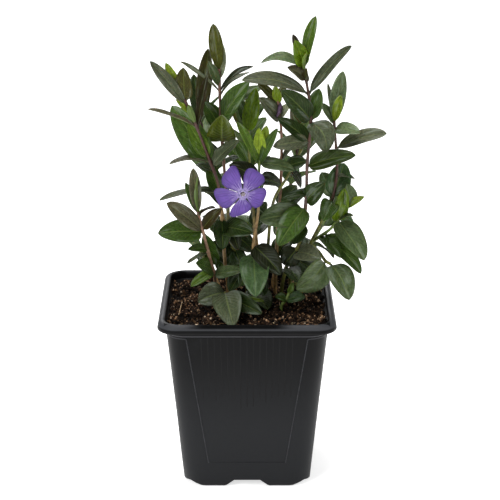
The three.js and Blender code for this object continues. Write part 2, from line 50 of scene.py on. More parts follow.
def rgb(red, green, blue):
    # a screen colour, 0 to 255, as the linear colour that the shaders use
    def linear(level):
        share = level / 255
        return share / 12.92 if share <= 0.04045 else ((share + 0.055) / 1.055) ** 2.4
    return (linear(red), linear(green), linear(blue), 1)


def lerp(first, last, share):
    return first + (last - first) * share


# Camera, light and floor

view = {"elevation": 17.9, "aim": (1.5, 0, 119.5), "distance": 775, "lens": 107.3, "nearest": 10}
studio = {
    "skyStrength": 0.2,
    "skyColour": (1, 1, 1, 1),
    "lamps": {
        # name: place, size and power
        "overhead": ((-200, 0, 1300), 600, 13),
        "behind": ((-300, 1500, 900), 700, 8),
        "frontLeft": ((-900, -1200, 1100), 450, 13),
        "right": ((1300, -600, 800), 450, 6),
    },
    "lampTarget": (0, 0, 120),
    "floorSize": 6000,
    "floorColour": rgb(250, 250, 250),
    "floorPatch": rgb(246, 246, 246),
    "floorCloud": (3, 2),
    "floorRough": 0.9,
    "floorGlow": 0.68,
    "floorGlowColour": (1, 1, 1, 1),
}


def addCamera():
    tilt = math.radians(view["elevation"])
    back = Vector((0, -math.cos(tilt), math.sin(tilt)))
    lens = bpy.data.cameras.new("camera")
    lens.lens = view["lens"]
    lens.clip_start = view["nearest"] * mm
    camera = bpy.data.objects.new("camera", lens)
    camera.location = (Vector(view["aim"]) + back * view["distance"]) * mm
    camera.rotation_euler = (math.pi / 2 - tilt, 0, 0)
    scene.collection.objects.link(camera)
    scene.camera = camera


def addStudio():
    world = bpy.data.worlds.new("studio")
    world.use_nodes = True
    sky = world.node_tree.nodes["Background"]
    sky.inputs["Color"].default_value = studio["skyColour"]
    sky.inputs["Strength"].default_value = studio["skyStrength"]
    scene.world = world
    target = Vector(studio["lampTarget"]) * mm
    for name, (place, size, power) in studio["lamps"].items():
        lamp = bpy.data.lights.new(name, "AREA")
        lamp.size = size * mm
        lamp.energy = power
        holder = bpy.data.objects.new(name, lamp)
        holder.location = Vector(place) * mm
        holder.rotation_euler = (target - holder.location).to_track_quat("-Z", "Y").to_euler()
        scene.collection.objects.link(holder)
    scene.view_settings.view_transform = "Standard"


addCamera()
addStudio()
print("camera and lamps placed")


# Finishes

class Value:
    # a node's output that adds up like a number
    def __init__(self, paint, socket):
        self.paint = paint
        self.socket = socket

    def other(self, name):
        return Value(self.paint, self.socket.node.outputs[name])

    def reckon(self, operation, *numbers):
        return self.paint.node("ShaderNodeMath", {"operation": operation}, dict(enumerate(numbers)))

    def __add__(self, number):
        return self.reckon("ADD", self, number)

    def __sub__(self, number):
        return self.reckon("SUBTRACT", self, number)

    def __rsub__(self, number):
        return self.reckon("SUBTRACT", number, self)

    def __mul__(self, number):
        return self.reckon("MULTIPLY", self, number)

    def __abs__(self):
        return self.reckon("ABSOLUTE", self)

    __radd__ = __add__
    __rmul__ = __mul__

    def fraction(self):
        return self.reckon("FRACT", self)

    def most(self, number):
        return self.reckon("MAXIMUM", self, number)

    def least(self, number):
        return self.reckon("MINIMUM", self, number)

    def fade(self, start, end, reached=1):
        # 0 at start, smooth between, and 1 or what is reached at end
        ends = {"Value": self, "From Min": start, "From Max": end, "To Max": reached}
        return self.paint.node("ShaderNodeMapRange", {"interpolation_type": "SMOOTHSTEP"}, ends)


class Paint:
    # one material and its nodes
    def __init__(self, name, **fixed):
        self.material = bpy.data.materials.new(name)
        self.material.use_nodes = True
        self.tree = self.material.node_tree
        self.shader = self.tree.nodes["Principled BSDF"]
        for socket, value in fixed.items():
            self.shader.inputs[socket.replace("_", " ")].default_value = value

    def node(self, kind, settings=None, inputs=None, output=0):
        node = self.tree.nodes.new(kind)
        for name, setting in (settings or {}).items():
            setattr(node, name, setting)
        for socket, value in (inputs or {}).items():
            self.feed(node.inputs[socket], value)
        return Value(self, node.outputs[output])

    def feed(self, socket, value):
        if isinstance(value, Value):
            self.tree.links.new(value.socket, socket)
        else:
            socket.default_value = value

    def use(self, name, value):
        self.feed(self.shader.inputs[name], value)

    def mix(self, share, first, second, blend="MIX"):
        settings = {"data_type": "RGBA", "blend_type": blend}
        return self.node("ShaderNodeMix", settings, {0: share, 6: first, 7: second}, 2)

    def tint(self, colour, factors):
        return self.mix(1, colour, (*factors, 1), "MULTIPLY")

    def tone(self):
        # the colour that each leaf, stalk or crumb carries
        return self.node("ShaderNodeAttribute", {"attribute_name": "tone"}, output="Color")

    def place(self):
        return self.node("ShaderNodeTexCoord", output="Object")

    def sheet(self, name):
        # across and along a leaf or a petal, each from 0 to 1
        return self.node("ShaderNodeUVMap", {"uv_map": name})

    def parts(self, vector):
        return self.node("ShaderNodeSeparateXYZ", None, {0: vector})

    def noise(self, scale, detail=3, roughness=0.5, place=None):
        inputs = {"Vector": place or self.place(), "Scale": scale, "Detail": detail, "Roughness": roughness}
        return self.node("ShaderNodeTexNoise", None, inputs)

    def finish(self, colour, roughness, relief, depth):
        self.use("Base Color", colour)
        self.use("Roughness", roughness)
        inputs = {"Height": relief, "Distance": depth, "Strength": 1}
        self.use("Normal", self.node("ShaderNodeBump", None, inputs))
        return self.material


# Lengths in the finishes are in metres. A fade is given as where it begins, where
# it ends and, unless it is 1, what it reaches there. A noise is given as its scale,
# its detail and its roughness.
potLook = {
    "shine": 0.11, "roughness": 0.36, "cloud": (45, 4, 0.6), "cloudRough": 0.16,
    "grain": (2600, 2), "grainRough": 0.06, "grainDepth": 0.00004,
    "low": rgb(29, 30, 32), "high": rgb(9, 9, 10), "lightFade": (0.084, 0.03),
    "dusty": rgb(34, 35, 37), "dustFade": (0.5, 0.85, 0.35),
    # the edge colour paints highlight lines at the collar and at the corners below it
    "edge": rgb(70, 70, 74), "collar": 0.0871, "collarHighlightFade": (0.0006, 0.0002, 0.75),
    "head": 0.0856, "headHighlightFade": (0.0005, 0.0001, 0.5), "cornerFade": (0.0303, 0.0306),
    # the lip colour is a painted highlight along the top of the rim
    "lip": rgb(64, 65, 68), "lipHighlightFade": (0.0913, 0.0921), "lipHighlightShare": 0.5, "lipHighlightCloud": 0.6,
    "inside": rgb(5, 5, 6), "innerShadeFade": (0.0418, 0.0413), "innerShadeHeight": (0.0878, 0.0882),
    # the stretch of the front lip under the plant's painted shadow, dark but for its outer edge
    "middle": -0.004, "middleFade": (0.029, 0.017), "frontFade": (-0.0395, -0.041),
    "edgeFade": (-0.0449, -0.0444), "shadedHeight": (0.0905, 0.0912), "black": (0, 0, 0, 1),
    "shadedLip": 0.88, "shadedShare": 0.9, "shadedRough": 0.95,
}


def plasticFinish():
    # painted light: paler low down where the floor lights it; dusty in patches; a painted highlight on the
    # lip and painted highlight lines at the collar; a painted shadow on the front lip; painted shade, black,
    # inside
    look = potLook
    paint = Paint("potPlastic", Specular_IOR_Level=look["shine"])
    across = paint.parts(paint.place())
    depth = across.other("Y")
    height = across.other("Z")
    cloud = paint.noise(*look["cloud"])
    grain = paint.noise(*look["grain"])
    corner = abs(across).least(abs(depth)).fade(*look["cornerFade"])
    # painted highlight lines round the collar's lower edge and at the corners below it
    collar = abs(height - look["collar"]).fade(*look["collarHighlightFade"])
    head = abs(height - look["head"]).fade(*look["headHighlightFade"]) * corner
    front = depth.fade(*look["frontFade"]) * abs(across - look["middle"]).fade(*look["middleFade"])
    # painted shadow of the plant on the middle of the front lip
    shaded = front * depth.fade(*look["edgeFade"]) * height.fade(*look["shadedHeight"])
    # painted highlight along the top of the lip, in patches
    lip = height.fade(*look["lipHighlightFade"]) * (look["lipHighlightShare"] + cloud * look["lipHighlightCloud"])
    # painted shade, near black, on the inside of the rim above the peat
    innerShade = abs(across).most(abs(depth)).fade(*look["innerShadeFade"]) * height.fade(*look["innerShadeHeight"])
    colour = paint.mix(height.fade(*look["lightFade"]), look["high"], look["low"])
    colour = paint.mix(cloud.fade(*look["dustFade"]), colour, look["dusty"])
    colour = paint.mix(collar, colour, look["edge"])
    colour = paint.mix(head, colour, look["edge"])
    colour = paint.mix(lip * (1 - shaded * look["shadedLip"]), colour, look["lip"])
    colour = paint.mix(shaded * look["shadedShare"], colour, look["black"])
    colour = paint.mix(innerShade, colour, look["inside"])
    rough = look["roughness"] + cloud * look["cloudRough"] + grain * look["grainRough"]
    return paint.finish(colour, rough.most(shaded * look["shadedRough"]), grain, look["grainDepth"])


peatLook = {
    "darkened": (0.1, 0.09, 0.07), "shine": 0.1, "roughness": 0.75, "relief": 0.0006,
    "patch": (420, 5, 0.65), "patchFade": (0.35, 0.62),
    "shadow": (95, 3, 0.5), "shadowFade": (0.38, 0.56),
    "fleck": (1500, 3, 0.7), "fleckFade": (0.62, 0.78, 0.5), "fleckColour": rgb(122, 92, 66),
    "fleckRough": 0.2, "fleckRelief": 0.6,
}


def peatFinish():
    # crumbs carry their own tone, and the bed's tone is even
    look = peatLook
    paint = Paint("peat", Specular_IOR_Level=look["shine"])
    tone = paint.tone()
    patch = paint.noise(*look["patch"])
    shadow = paint.noise(*look["shadow"])
    fleck = paint.noise(*look["fleck"])
    lit = patch.fade(*look["patchFade"]) * shadow.fade(*look["shadowFade"])
    colour = paint.mix(lit, paint.tint(tone, look["darkened"]), tone)
    colour = paint.mix(fleck.fade(*look["fleckFade"]), colour, look["fleckColour"])
    rough = look["roughness"] + fleck * look["fleckRough"]
    return paint.finish(colour, rough, patch + fleck * look["fleckRelief"], look["relief"])


leafLook = {
    # the shine and the roughness are of the upper side and of the underside
    "shine": (0.12, 0.08), "roughness": (0.24, 0.6), "relief": 0.00018,
    "subsurface": 0.08, "subsurfaceScale": 0.0008,
    "darkened": (0.43, 0.46, 0.36), "lightened": (1.46, 1.44, 1.2),
    "underside": rgb(112, 128, 84), "undersideShare": 0.45,
    "rib": rgb(140, 155, 80), "ribStrength": 0.4, "ribFade": (0.085, 0.015), "ribShare": 0.5,
    "veins": 10, "veinLean": 3.4, "veinFade": (0.12, 0), "veinEnd": (1, 0.6),
    "veinShare": 0.14, "veinRelief": 0.5, "swellFade": (0, 0.5, 0.4),
    "cloud": (130, 3), "cloudShare": 0.4, "mottle": (700, 4, 0.6), "mottleFade": (0.3, 0.7, 0.6),
    "mottleRough": 0.2, "mottleRelief": 0.25,
    "flush": rgb(50, 38, 26), "flushEdge": 0.25, "flushFade": (0.3, 0.75),
    # painted reflection in streaks: the sheen colour and the streak noise
    "sheen": rgb(150, 158, 148), "sheenStrength": 0.5, "sheenFade": (0.52, 0.66, 0.55),
    "darkStreakFade": (0.46, 0.34, 0.6), "sheenStreak": (34, 3, 0.55), "sheenStreakScale": (0.11, 0.05, 1),
}


def leafFinish(name, under):
    # the tone comes from each leaf, its alpha is how far bronze has flushed it
    look = leafLook
    paint = Paint(name, Specular_IOR_Level=look["shine"][under], Subsurface_Weight=look["subsurface"],
                  Subsurface_Scale=look["subsurfaceScale"])
    tone = paint.tone()
    across = paint.parts(paint.sheet("leafMap"))
    along = across.other("Y")
    fromRib = abs(across - 0.5) * 2
    rib = fromRib.fade(*look["ribFade"])
    fromVein = abs((along * look["veins"] - fromRib * look["veinLean"]).fraction() - 0.5)
    vein = fromVein.fade(*look["veinFade"]) * fromRib.fade(*look["veinEnd"])
    swell = fromVein.fade(*look["swellFade"])
    cloud = paint.noise(*look["cloud"])
    mottle = paint.noise(*look["mottle"])
    sheenStreak = paint.noise(*look["sheenStreak"], paint.node("ShaderNodeMapping", None, {
        "Vector": paint.sheet("leafMap"), "Location": paint.place(), "Scale": look["sheenStreakScale"],
    }))
    dark = paint.tint(tone, look["darkened"])
    light = paint.tint(tone, look["lightened"])
    shade = mottle.fade(*look["mottleFade"]) + cloud * look["cloudShare"]
    blush = tone.other("Alpha") * (cloud + fromRib * look["flushEdge"]).fade(*look["flushFade"])
    paintedSheen = paint.mix(look["sheenStrength"], light, look["sheen"])
    pale = paint.mix(look["ribStrength"], light, look["rib"])
    colour = paint.mix(shade, dark, light)
    colour = paint.mix(blush, colour, look["flush"])
    # painted reflection: pale sheen streaks, and darker streaks between them
    colour = paint.mix(sheenStreak.fade(*look["sheenFade"]), colour, paintedSheen)
    colour = paint.mix(sheenStreak.fade(*look["darkStreakFade"]), colour, dark)
    colour = paint.mix((rib * look["ribShare"]).most(vein * look["veinShare"]), colour, pale)
    if under:
        colour = paint.mix(look["undersideShare"], colour, look["underside"])
    rough = look["roughness"][under] + mottle * look["mottleRough"]
    # the rib and the veins are sunk above and stand out below
    side = 1 if under else -1
    relief = rib.most(vein * look["veinRelief"]) * side + swell + mottle * look["mottleRelief"]
    return paint.finish(colour, rough, relief, look["relief"])


stalkLook = {
    "darkened": (0.55, 0.5, 0.5), "lightened": (1.35, 1.3, 1.2), "coat": 0.1, "coatRough": 0.35,
    "roughness": 0.42, "streak": (500, 4, 0.6), "streakFade": (0.3, 0.7), "streakRough": 0.2,
    "relief": 0.0002,
}


def stalkFinish():
    look = stalkLook
    paint = Paint("stalk", Coat_Weight=look["coat"], Coat_Roughness=look["coatRough"])
    tone = paint.tone()
    streak = paint.noise(*look["streak"])
    dark = paint.tint(tone, look["darkened"])
    light = paint.tint(tone, look["lightened"])
    colour = paint.mix(streak.fade(*look["streakFade"]), dark, light)
    rough = look["roughness"] + streak * look["streakRough"]
    return paint.finish(colour, rough, streak, look["relief"])


petalLook = {
    "deep": rgb(58, 34, 106), "violet": rgb(110, 78, 168), "pale": rgb(198, 186, 222),
    "shadow": rgb(40, 26, 66), "subsurface": 0.1, "subsurfaceScale": 0.0008,
    "roughness": 0.5, "relief": 0.0002, "cloud": (160, 2), "cloudShare": 0.5,
    "streak": (1, 2, 0.5), "streakScale": (26, 2.2, 1), "streakFade": (0.3, 0.7, 0.5), "streakRough": 0.15,
    # how the petal deepens to its end and to its sides
    "endFade": (0.6, 1, 0.6), "sideFade": (0.6, 1, 0.35),
    # its pale throat, seams and rays
    "throatFade": (0.16, 0, 0.55), "seamSide": (0.86, 1), "seamFade": (0.5, 0.1, 0.4),
    "rayStreak": (0.5, 0.62), "rayFade": (0.55, 0.1, 0.65),
    # the shadow of the next petal, beyond the throat
    "shadowSide": (0.9, 0.98), "shadowEnd": (0.62, 0.3), "shadowStart": (0.04, 0.14, 0.75),
}


def petalFinish():
    look = petalLook
    paint = Paint("petal", Subsurface_Weight=look["subsurface"], Subsurface_Scale=look["subsurfaceScale"])
    across = paint.parts(paint.sheet("petalMap"))
    along = across.other("Y")
    fromRib = abs(across - 0.5) * 2
    streak = paint.noise(*look["streak"], paint.node("ShaderNodeMapping", None, {
        "Vector": paint.sheet("petalMap"), "Scale": look["streakScale"],
    }))
    cloud = paint.noise(*look["cloud"])
    shade = streak.fade(*look["streakFade"]) + cloud * look["cloudShare"]
    outer = 1 - along.fade(*look["endFade"]) - fromRib.fade(*look["sideFade"])
    throat = along.fade(*look["throatFade"])
    seam = fromRib.fade(*look["seamSide"]) * along.fade(*look["seamFade"])
    ray = streak.fade(*look["rayStreak"]) * along.fade(*look["rayFade"])
    under = fromRib.fade(*look["shadowSide"]) * along.fade(*look["shadowEnd"])
    under = under * along.fade(*look["shadowStart"])
    colour = paint.mix(shade * outer, look["deep"], look["violet"])
    colour = paint.mix(throat.most(seam).most(ray), colour, look["pale"])
    colour = paint.mix(under, colour, look["shadow"])
    rough = look["roughness"] + streak * look["streakRough"]
    return paint.finish(colour, rough, streak, look["relief"])


# two close colours in soft patches, for the small parts: the colours, the scale
# of the patches, the roughness, the depth of the relief and the shine
plainLooks = {
    # the panel lines and the ribs are lighter than the wall: a painted highlight on their raised tops
    "potLine": (rgb(42, 43, 45), rgb(56, 57, 60), 300, 0.4, 0.00003, 0.1),
    "potRib": (rgb(16, 16, 17), rgb(23, 23, 24), 90, 0.4, 0.00003, 0.1),
    "throat": (rgb(136, 118, 184), rgb(184, 174, 208), 900, 0.5, 0.00005, 0.5),
    "tube": (rgb(110, 94, 154), rgb(154, 142, 186), 500, 0.5, 0.00005, 0.5),
    "anther": (rgb(140, 130, 134), rgb(178, 168, 168), 2500, 0.7, 0.0001, 0.5),
    "bud": (rgb(50, 32, 50), rgb(98, 70, 104), 900, 0.45, 0.0001, 0.5),
}
plainPatch = {"detail": 4, "roughness": 0.6, "fade": (0.3, 0.7), "rough": 0.1}


def plainFinish(name):
    first, second, scale, roughness, depth, shine = plainLooks[name]
    paint = Paint(name, Specular_IOR_Level=shine)
    patch = paint.noise(scale, plainPatch["detail"], plainPatch["roughness"])
    colour = paint.mix(patch.fade(*plainPatch["fade"]), first, second)
    return paint.finish(colour, roughness + patch * plainPatch["rough"], patch, depth)


def floorFinish():
    paint = Paint("floorWhite", Specular_IOR_Level=0, Roughness=studio["floorRough"],
                  Emission_Strength=studio["floorGlow"], Emission_Color=studio["floorGlowColour"])
    cloud = paint.noise(*studio["floorCloud"])
    paint.use("Base Color", paint.mix(cloud, studio["floorColour"], studio["floorPatch"]))
    return paint.material


finishes = {
    "pot": plasticFinish(),
    "peat": peatFinish(),
    "leafUpper": leafFinish("leafUpper", False),
    "leafUnder": leafFinish("leafUnder", True),
    "stalk": stalkFinish(),
    "petal": petalFinish(),
    "floor": floorFinish(),
}
for name in plainLooks:
    finishes[name] = plainFinish(name)
print("finishes made")


# Shared steps

def finishPiece(name, bm, materials, slot=None, stands=(), sharp=None):
    # brings a bmesh to metres and hands it over as one piece of the plant
    bmesh.ops.scale(bm, vec=(mm, mm, mm), verts=bm.verts)
    mesh = bpy.data.meshes.new(name)
    bm.to_mesh(mesh)
    bm.free()
    mesh.shade_smooth()
    if sharp:
        mesh.set_sharp_from_angle(angle=math.radians(sharp))
    for material in materials:
        mesh.materials.append(finishes[material])
    piece = bpy.data.objects.new(name, mesh)
    scene.collection.objects.link(piece)
    if slot:
        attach(piece, "root")
    if stands:
        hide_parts(*stands)
    return piece


def facing(bm):
    bmesh.ops.recalc_face_normals(bm, faces=bm.faces)


def level(spot):
    return Vector((spot.x, spot.y, 0))


def turnUpright(bm, angle, verts):
    bmesh.ops.rotate(bm, matrix=Matrix.Rotation(angle, 3, "Z"), verts=verts)


def pullRing(bm, edges):
    # a new ring grown from an old one, still in the same place
    made = bmesh.ops.extrude_edge_only(bm, edges=edges)["geom"]
    verts = [part for part in made if isinstance(part, bmesh.types.BMVert)]
    fresh = set(verts)
    edges = [part for part in made if isinstance(part, bmesh.types.BMEdge) and set(part.verts) <= fresh]
    return verts, edges


def sweep(bm, path, girths, sides, tones=None):
    # a ring pulled along a path, closed at both ends
    heading = (path[1] - path[0]).normalized()
    turned = heading.to_track_quat("Z", "Y").to_matrix().to_4x4()
    here = Matrix.Translation(path[0]) @ turned @ Matrix.Scale(girths[0], 4)
    verts = bmesh.ops.create_circle(bm, cap_ends=True, segments=sides, radius=1, matrix=here)["verts"]
    edges = list({edge for vert in verts for edge in vert.link_edges})
    toneLayer = bm.verts.layers.float_color.get("tone")
    for step in range(len(path)):
        if step:
            ahead = (path[min(step + 1, len(path) - 1)] - path[step - 1]).normalized()
            turned = heading.rotation_difference(ahead).to_matrix().to_4x4() @ turned
            heading = ahead
            there = Matrix.Translation(path[step]) @ turned @ Matrix.Scale(girths[step], 4)
            verts, edges = pullRing(bm, edges)
            bmesh.ops.transform(bm, matrix=there @ here.inverted(), verts=verts)
            here = there
        if tones:
            for vert in verts:
                vert[toneLayer] = tones[step]
    bmesh.ops.edgeloop_fill(bm, edges=edges)


def smoothPath(points):
    # a smooth curve through the points, with speed kept even at uneven spacings
    spanSteps = 24
    points = [Vector(point) for point in points]
    reach = [2 * points[0] - points[1], *points, 2 * points[-1] - points[-2]]
    path = []
    for first, start, end, last in zip(reach, reach[1:], reach[2:], reach[3:]):
        before = (start - first).length ** 0.5
        during = (end - start).length ** 0.5
        after = (last - end).length ** 0.5
        leave = (start - first) / before - (end - first) / (before + during) + (end - start) / during
        arrive = (end - start) / during - (last - start) / (during + after) + (last - end) / after
        span = geometry.interpolate_bezier(
            start, start + leave * during / 3, end - arrive * during / 3, end, spanSteps,
        )
        path.extend(span[1:] if path else span)
    return path


def evenPath(path, spacing):
    # points at equal distances along a path
    lengths = [0]
    for start, end in zip(path, path[1:]):
        lengths.append(lengths[-1] + (end - start).length)
    count = max(3, round(lengths[-1] / spacing))
    even = []
    index = 0
    for step in range(count + 1):
        distance = lengths[-1] * step / count
        while index < len(path) - 2 and lengths[index + 1] < distance:
            index += 1
        span = lengths[index + 1] - lengths[index]
        even.append(path[index].lerp(path[index + 1], (distance - lengths[index]) / span))
    return even


def startMesh(mapName=None):
    # for a piece that carries tones, and a map across and along its sheets
    bm = bmesh.new()
    bm.verts.layers.float_color.new("tone")
    if mapName:
        bm.loops.layers.uv.new(mapName)
    return bm


def toneAll(bm, tone):
    toneLayer = bm.verts.layers.float_color["tone"]
    for vert in bm.verts:
        vert[toneLayer] = tone


# Pot

pot = {
    "bodyTop": 81.8, "bodyFoot": 66.2, "rimFoot": 89.2, "wall": 1.2, "floorUnder": 4,
    "corner": 10, "innerCorner": 8.8, "cornerSteps": 12, "sideCuts": 22, "sharpAngle": 32, "seed": 4,
    # how far each ring of the foot lies inside the wall, its corner and its height
    "footRings": [(2.8, 7.4, 4), (2.8, 7.4, 0.4), (2.4, 7.7, 0), (1.5, 8.6, 0), (0.6, 9.4, 0.35)],
    "outsideHeights": [1.2, 6, 14, 22, 30, 38, 46, 54, 62, 70, 78, 86, 86.5],
    "collarFoot": 86.8, "collarStep": 0.2,
    # half width, corner and height of the collar's and the lip's rings
    "lipRings": [
        (41.3, 10, 87.1), (41.55, 10, 87.5), (41.55, 10, 89), (41.8, 10, 89.2), (44.3, 10, 89.2),
        (44.9, 10, 89.4), (45.2, 10, 89.9), (45.25, 10, 90.4), (45.1, 10, 91.4), (44.85, 10, 92.3),
        (44.45, 10, 93), (43.9, 10, 93.6), (43.2, 9.7, 93.95), (42.4, 9.3, 94), (41.8, 9, 93.7),
        (41.5, 8.9, 93.1), (41.4, 8.8, 92), (41.3, 8.8, 89.9), (39.7, 8.8, 88.6),
    ],
    "insideHeights": [86, 60, 30, 5.2],
    "footLift": 2.4, "footLiftReach": 7, "footLiftTop": 6,
    "unevenness": 0.1, "unevenScale": 0.035, "unevenHeights": (2, 86),
    "notchWide": 24, "notchNarrow": 13.5, "notchBelow": 2,
    "drain": 3, "drainOffset": 19, "drainSides": 24, "pad": 6, "padSides": 40, "padInto": 0.6,
    "panelTop": 61, "panelBottom": 40, "panelFoot": 14.5, "panelHead": 85.4,
    "panelLine": 0.55, "panelProud": 0.32, "panelFootProud": 0.1, "panelRise": 0.3, "panelBeyond": 1,
    "barDepth": 1.2,
    "ribs": 15, "ribGap": 3.3, "ribWidth": 0.8, "ribTop": 86.2, "ribLength": 37,
    "ribVary": (0.85, 1.1), "ribLean": 0.96, "ribProud": (0.05, 0.12),
}


def bodyHalf(height):
    return (pot["bodyFoot"] + (pot["bodyTop"] - pot["bodyFoot"]) * height / pot["rimFoot"]) / 2


def moveRing(verts, was, becomes):
    # each ring is a square's half width, its corner radius and its height
    core = was[0] - was[1]
    newCore = becomes[0] - becomes[1]
    for vert in verts:
        middle = Vector((max(-core, min(core, vert.co.x)), max(-core, min(core, vert.co.y)), 0))
        away = level(vert.co) - middle
        vert.co = middle * newCore / core + away * becomes[1] / was[1] + upward * becomes[2]


def potRings():
    # from the underside of the floor out to the foot, up the wall, over the lip and down inside
    corner = pot["corner"]
    rings = [(bodyHalf(0) - inset, radius, height) for inset, radius, height in pot["footRings"]]
    rings += [(bodyHalf(height), corner, height) for height in pot["outsideHeights"]]
    rings += [(bodyHalf(pot["collarFoot"]) + pot["collarStep"], corner, pot["collarFoot"])]
    rings += pot["lipRings"]
    corner = pot["innerCorner"]
    rings += [(bodyHalf(height) - pot["wall"], corner, height) for height in pot["insideHeights"]]
    return rings


def potBody():
    bm = bmesh.new()
    rings = potRings()
    half, radius, height = rings[0]
    core = half - radius
    steps = 4 * pot["cornerSteps"]
    verts = bmesh.ops.create_circle(bm, cap_ends=True, segments=steps, radius=radius)["verts"]
    turnUpright(bm, math.pi / steps, verts)
    for vert in verts:
        vert.co += Vector((math.copysign(core, vert.co.x), math.copysign(core, vert.co.y), height))
    sides = [edge for edge in bm.edges if edge.calc_length() > half]
    bmesh.ops.subdivide_edges(bm, edges=sides, cuts=pot["sideCuts"])
    edges = list(bm.edges)
    for was, becomes in zip(rings, rings[1:]):
        verts, edges = pullRing(bm, edges)
        moveRing(verts, was, becomes)
    bmesh.ops.edgeloop_fill(bm, edges=edges)
    # the foot rises towards its corners, and moulded walls are never quite flat
    foot = bodyHalf(0) - pot["corner"]
    lowest, highest = pot["unevenHeights"]
    for vert in bm.verts:
        corner = (min(abs(vert.co.x), abs(vert.co.y)) - foot) / pot["footLiftReach"]
        if vert.co.z < pot["floorUnder"] and corner > 0:
            vert.co.z += pot["footLift"] * min(1, corner) * (1 - vert.co.z / pot["footLiftTop"])
        if lowest < vert.co.z < highest:
            dent = noise.noise(vert.co * pot["unevenScale"]) * pot["unevenness"]
            vert.co += level(vert.co).normalized() * dent
    facing(bm)
    return bm


def peg(bm, radius, length, middle, sides):
    # an upright round solid
    bmesh.ops.create_cone(
        bm, cap_ends=True, segments=sides, radius1=radius, radius2=radius, depth=length,
        matrix=Matrix.Translation(middle),
    )


def potCutter():
    # the notches through the foot and the drain holes
    bm = bmesh.new()
    under = pot["floorUnder"]
    below = pot["notchBelow"]
    widest = pot["notchWide"] + (pot["notchWide"] - pot["notchNarrow"]) * below / under
    for angle in (0, math.pi / 2):
        verts = bmesh.ops.create_cube(bm, size=1)["verts"]
        bmesh.ops.scale(bm, vec=(widest, pot["rimFoot"], under + below), verts=verts)
        bmesh.ops.translate(bm, vec=(0, 0, (under - below) / 2), verts=verts)
        top = [vert for vert in verts if vert.co.z > 0]
        bmesh.ops.scale(bm, vec=(pot["notchNarrow"] / widest, 1, 1), verts=top)
        turnUpright(bm, angle, verts)
    for x in (-pot["drainOffset"], pot["drainOffset"]):
        for y in (-pot["drainOffset"], pot["drainOffset"]):
            peg(bm, pot["drain"], 2 * under, (x, y, under), pot["drainSides"])
    return bm


def cutAway(bm, cutter):
    # the first shape less the second one
    holders = []
    for name, shape in (("whole", bm), ("cutter", cutter)):
        mesh = bpy.data.meshes.new(name)
        shape.to_mesh(mesh)
        shape.free()
        holder = bpy.data.objects.new(name, mesh)
        scene.collection.objects.link(holder)
        holders.append(holder)
    whole, tool = holders
    cut = whole.modifiers.new("cut", "BOOLEAN")
    cut.operation = "DIFFERENCE"
    cut.solver = "EXACT"
    cut.use_self = True
    cut.object = tool
    result = whole.evaluated_get(bpy.context.evaluated_depsgraph_get()).to_mesh()
    left = bmesh.new()
    left.from_mesh(result)
    for holder in holders:
        bpy.data.objects.remove(holder)
    return left


def faceBar(bm, start, end, width, proud, material):
    # a low round bar on the front face between two points, each its x and its height;
    # it stands proud by the first measure at one end and by the second at the other
    points = [Vector((x, -bodyHalf(height), height)) for x, height in (start, end)]
    along = points[1] - points[0]
    slope = math.atan2((pot["bodyTop"] - pot["bodyFoot"]) / 2, pot["rimFoot"])
    outward = Vector((0, -math.cos(slope), -math.sin(slope)))
    aside = along.normalized().cross(outward)
    depth = pot["barDepth"]
    verts = bmesh.ops.create_cube(bm, size=1)["verts"]
    bmesh.ops.scale(bm, vec=(width, depth, 1), verts=verts)
    outer = [edge for edge in {edge for vert in verts for edge in vert.link_edges}
             if all(vert.co.y > 0 for vert in edge.verts)]
    ridge = [edge for edge in outer if abs(edge.verts[0].co.z - edge.verts[1].co.z) > 0.5]
    # rounded to just short of the bar's middle
    bevelled = bmesh.ops.bevel(
        bm, geom=ridge, affect="EDGES", offset=min(width / 2 - 0.02, depth / 3),
        segments=3, profile=0.5, material=-1, clamp_overlap=True,
    )
    verts = list({vert for vert in verts if vert.is_valid} | set(bevelled["verts"]))
    for face in {face for vert in verts for face in vert.link_faces}:
        face.material_index = material
    for vert in verts:
        share = vert.co.z + 0.5
        rise = vert.co.y - depth / 2 + lerp(*proud, share)
        vert.co = points[0] + along * share + aside * vert.co.x + outward * rise
    return verts


def addFaceLines(bm):
    # the outline of the panel, the lips beside its head and the fine ribs inside it
    low = pot["panelBottom"] / 2
    high = pot["panelTop"] / 2
    lip = bodyHalf(pot["panelHead"]) - pot["corner"] + pot["panelBeyond"]
    foot = pot["panelFoot"]
    head = pot["panelHead"]
    width = pot["panelLine"]
    proud = (pot["panelProud"],) * 2
    wobble = random.Random(pot["seed"])
    for face in range(4):
        drawn = []
        for side in (-1, 1):
            drawn += faceBar(bm, (side * low, foot), (side * high, head), width, proud, 1)
            lipEnd = (side * lip, head + pot["panelRise"])
            drawn += faceBar(bm, (side * high, head), lipEnd, width, proud, 1)
        drawn += faceBar(bm, (-low, foot), (low, foot), width, (pot["panelFootProud"],) * 2, 0)
        for rib in range(pot["ribs"]):
            x = (rib - (pot["ribs"] - 1) / 2) * pot["ribGap"]
            end = (x * pot["ribLean"], pot["ribTop"] - pot["ribLength"] * wobble.uniform(*pot["ribVary"]))
            drawn += faceBar(bm, end, (x, pot["ribTop"]), pot["ribWidth"], pot["ribProud"], 2)
        turnUpright(bm, face * math.pi / 2, drawn)


def addPot():
    bm = cutAway(potBody(), potCutter())
    addFaceLines(bm)
    thickness = pot["floorUnder"] + pot["padInto"]
    peg(bm, pot["pad"], thickness, (0, 0, thickness / 2), pot["padSides"])
    facing(bm)
    finishPiece("nurseryPot", bm, ["pot", "potLine", "potRib"], "pot_plastic", ["pot"], pot["sharpAngle"])


addPot()
print("pot made")


# Soil

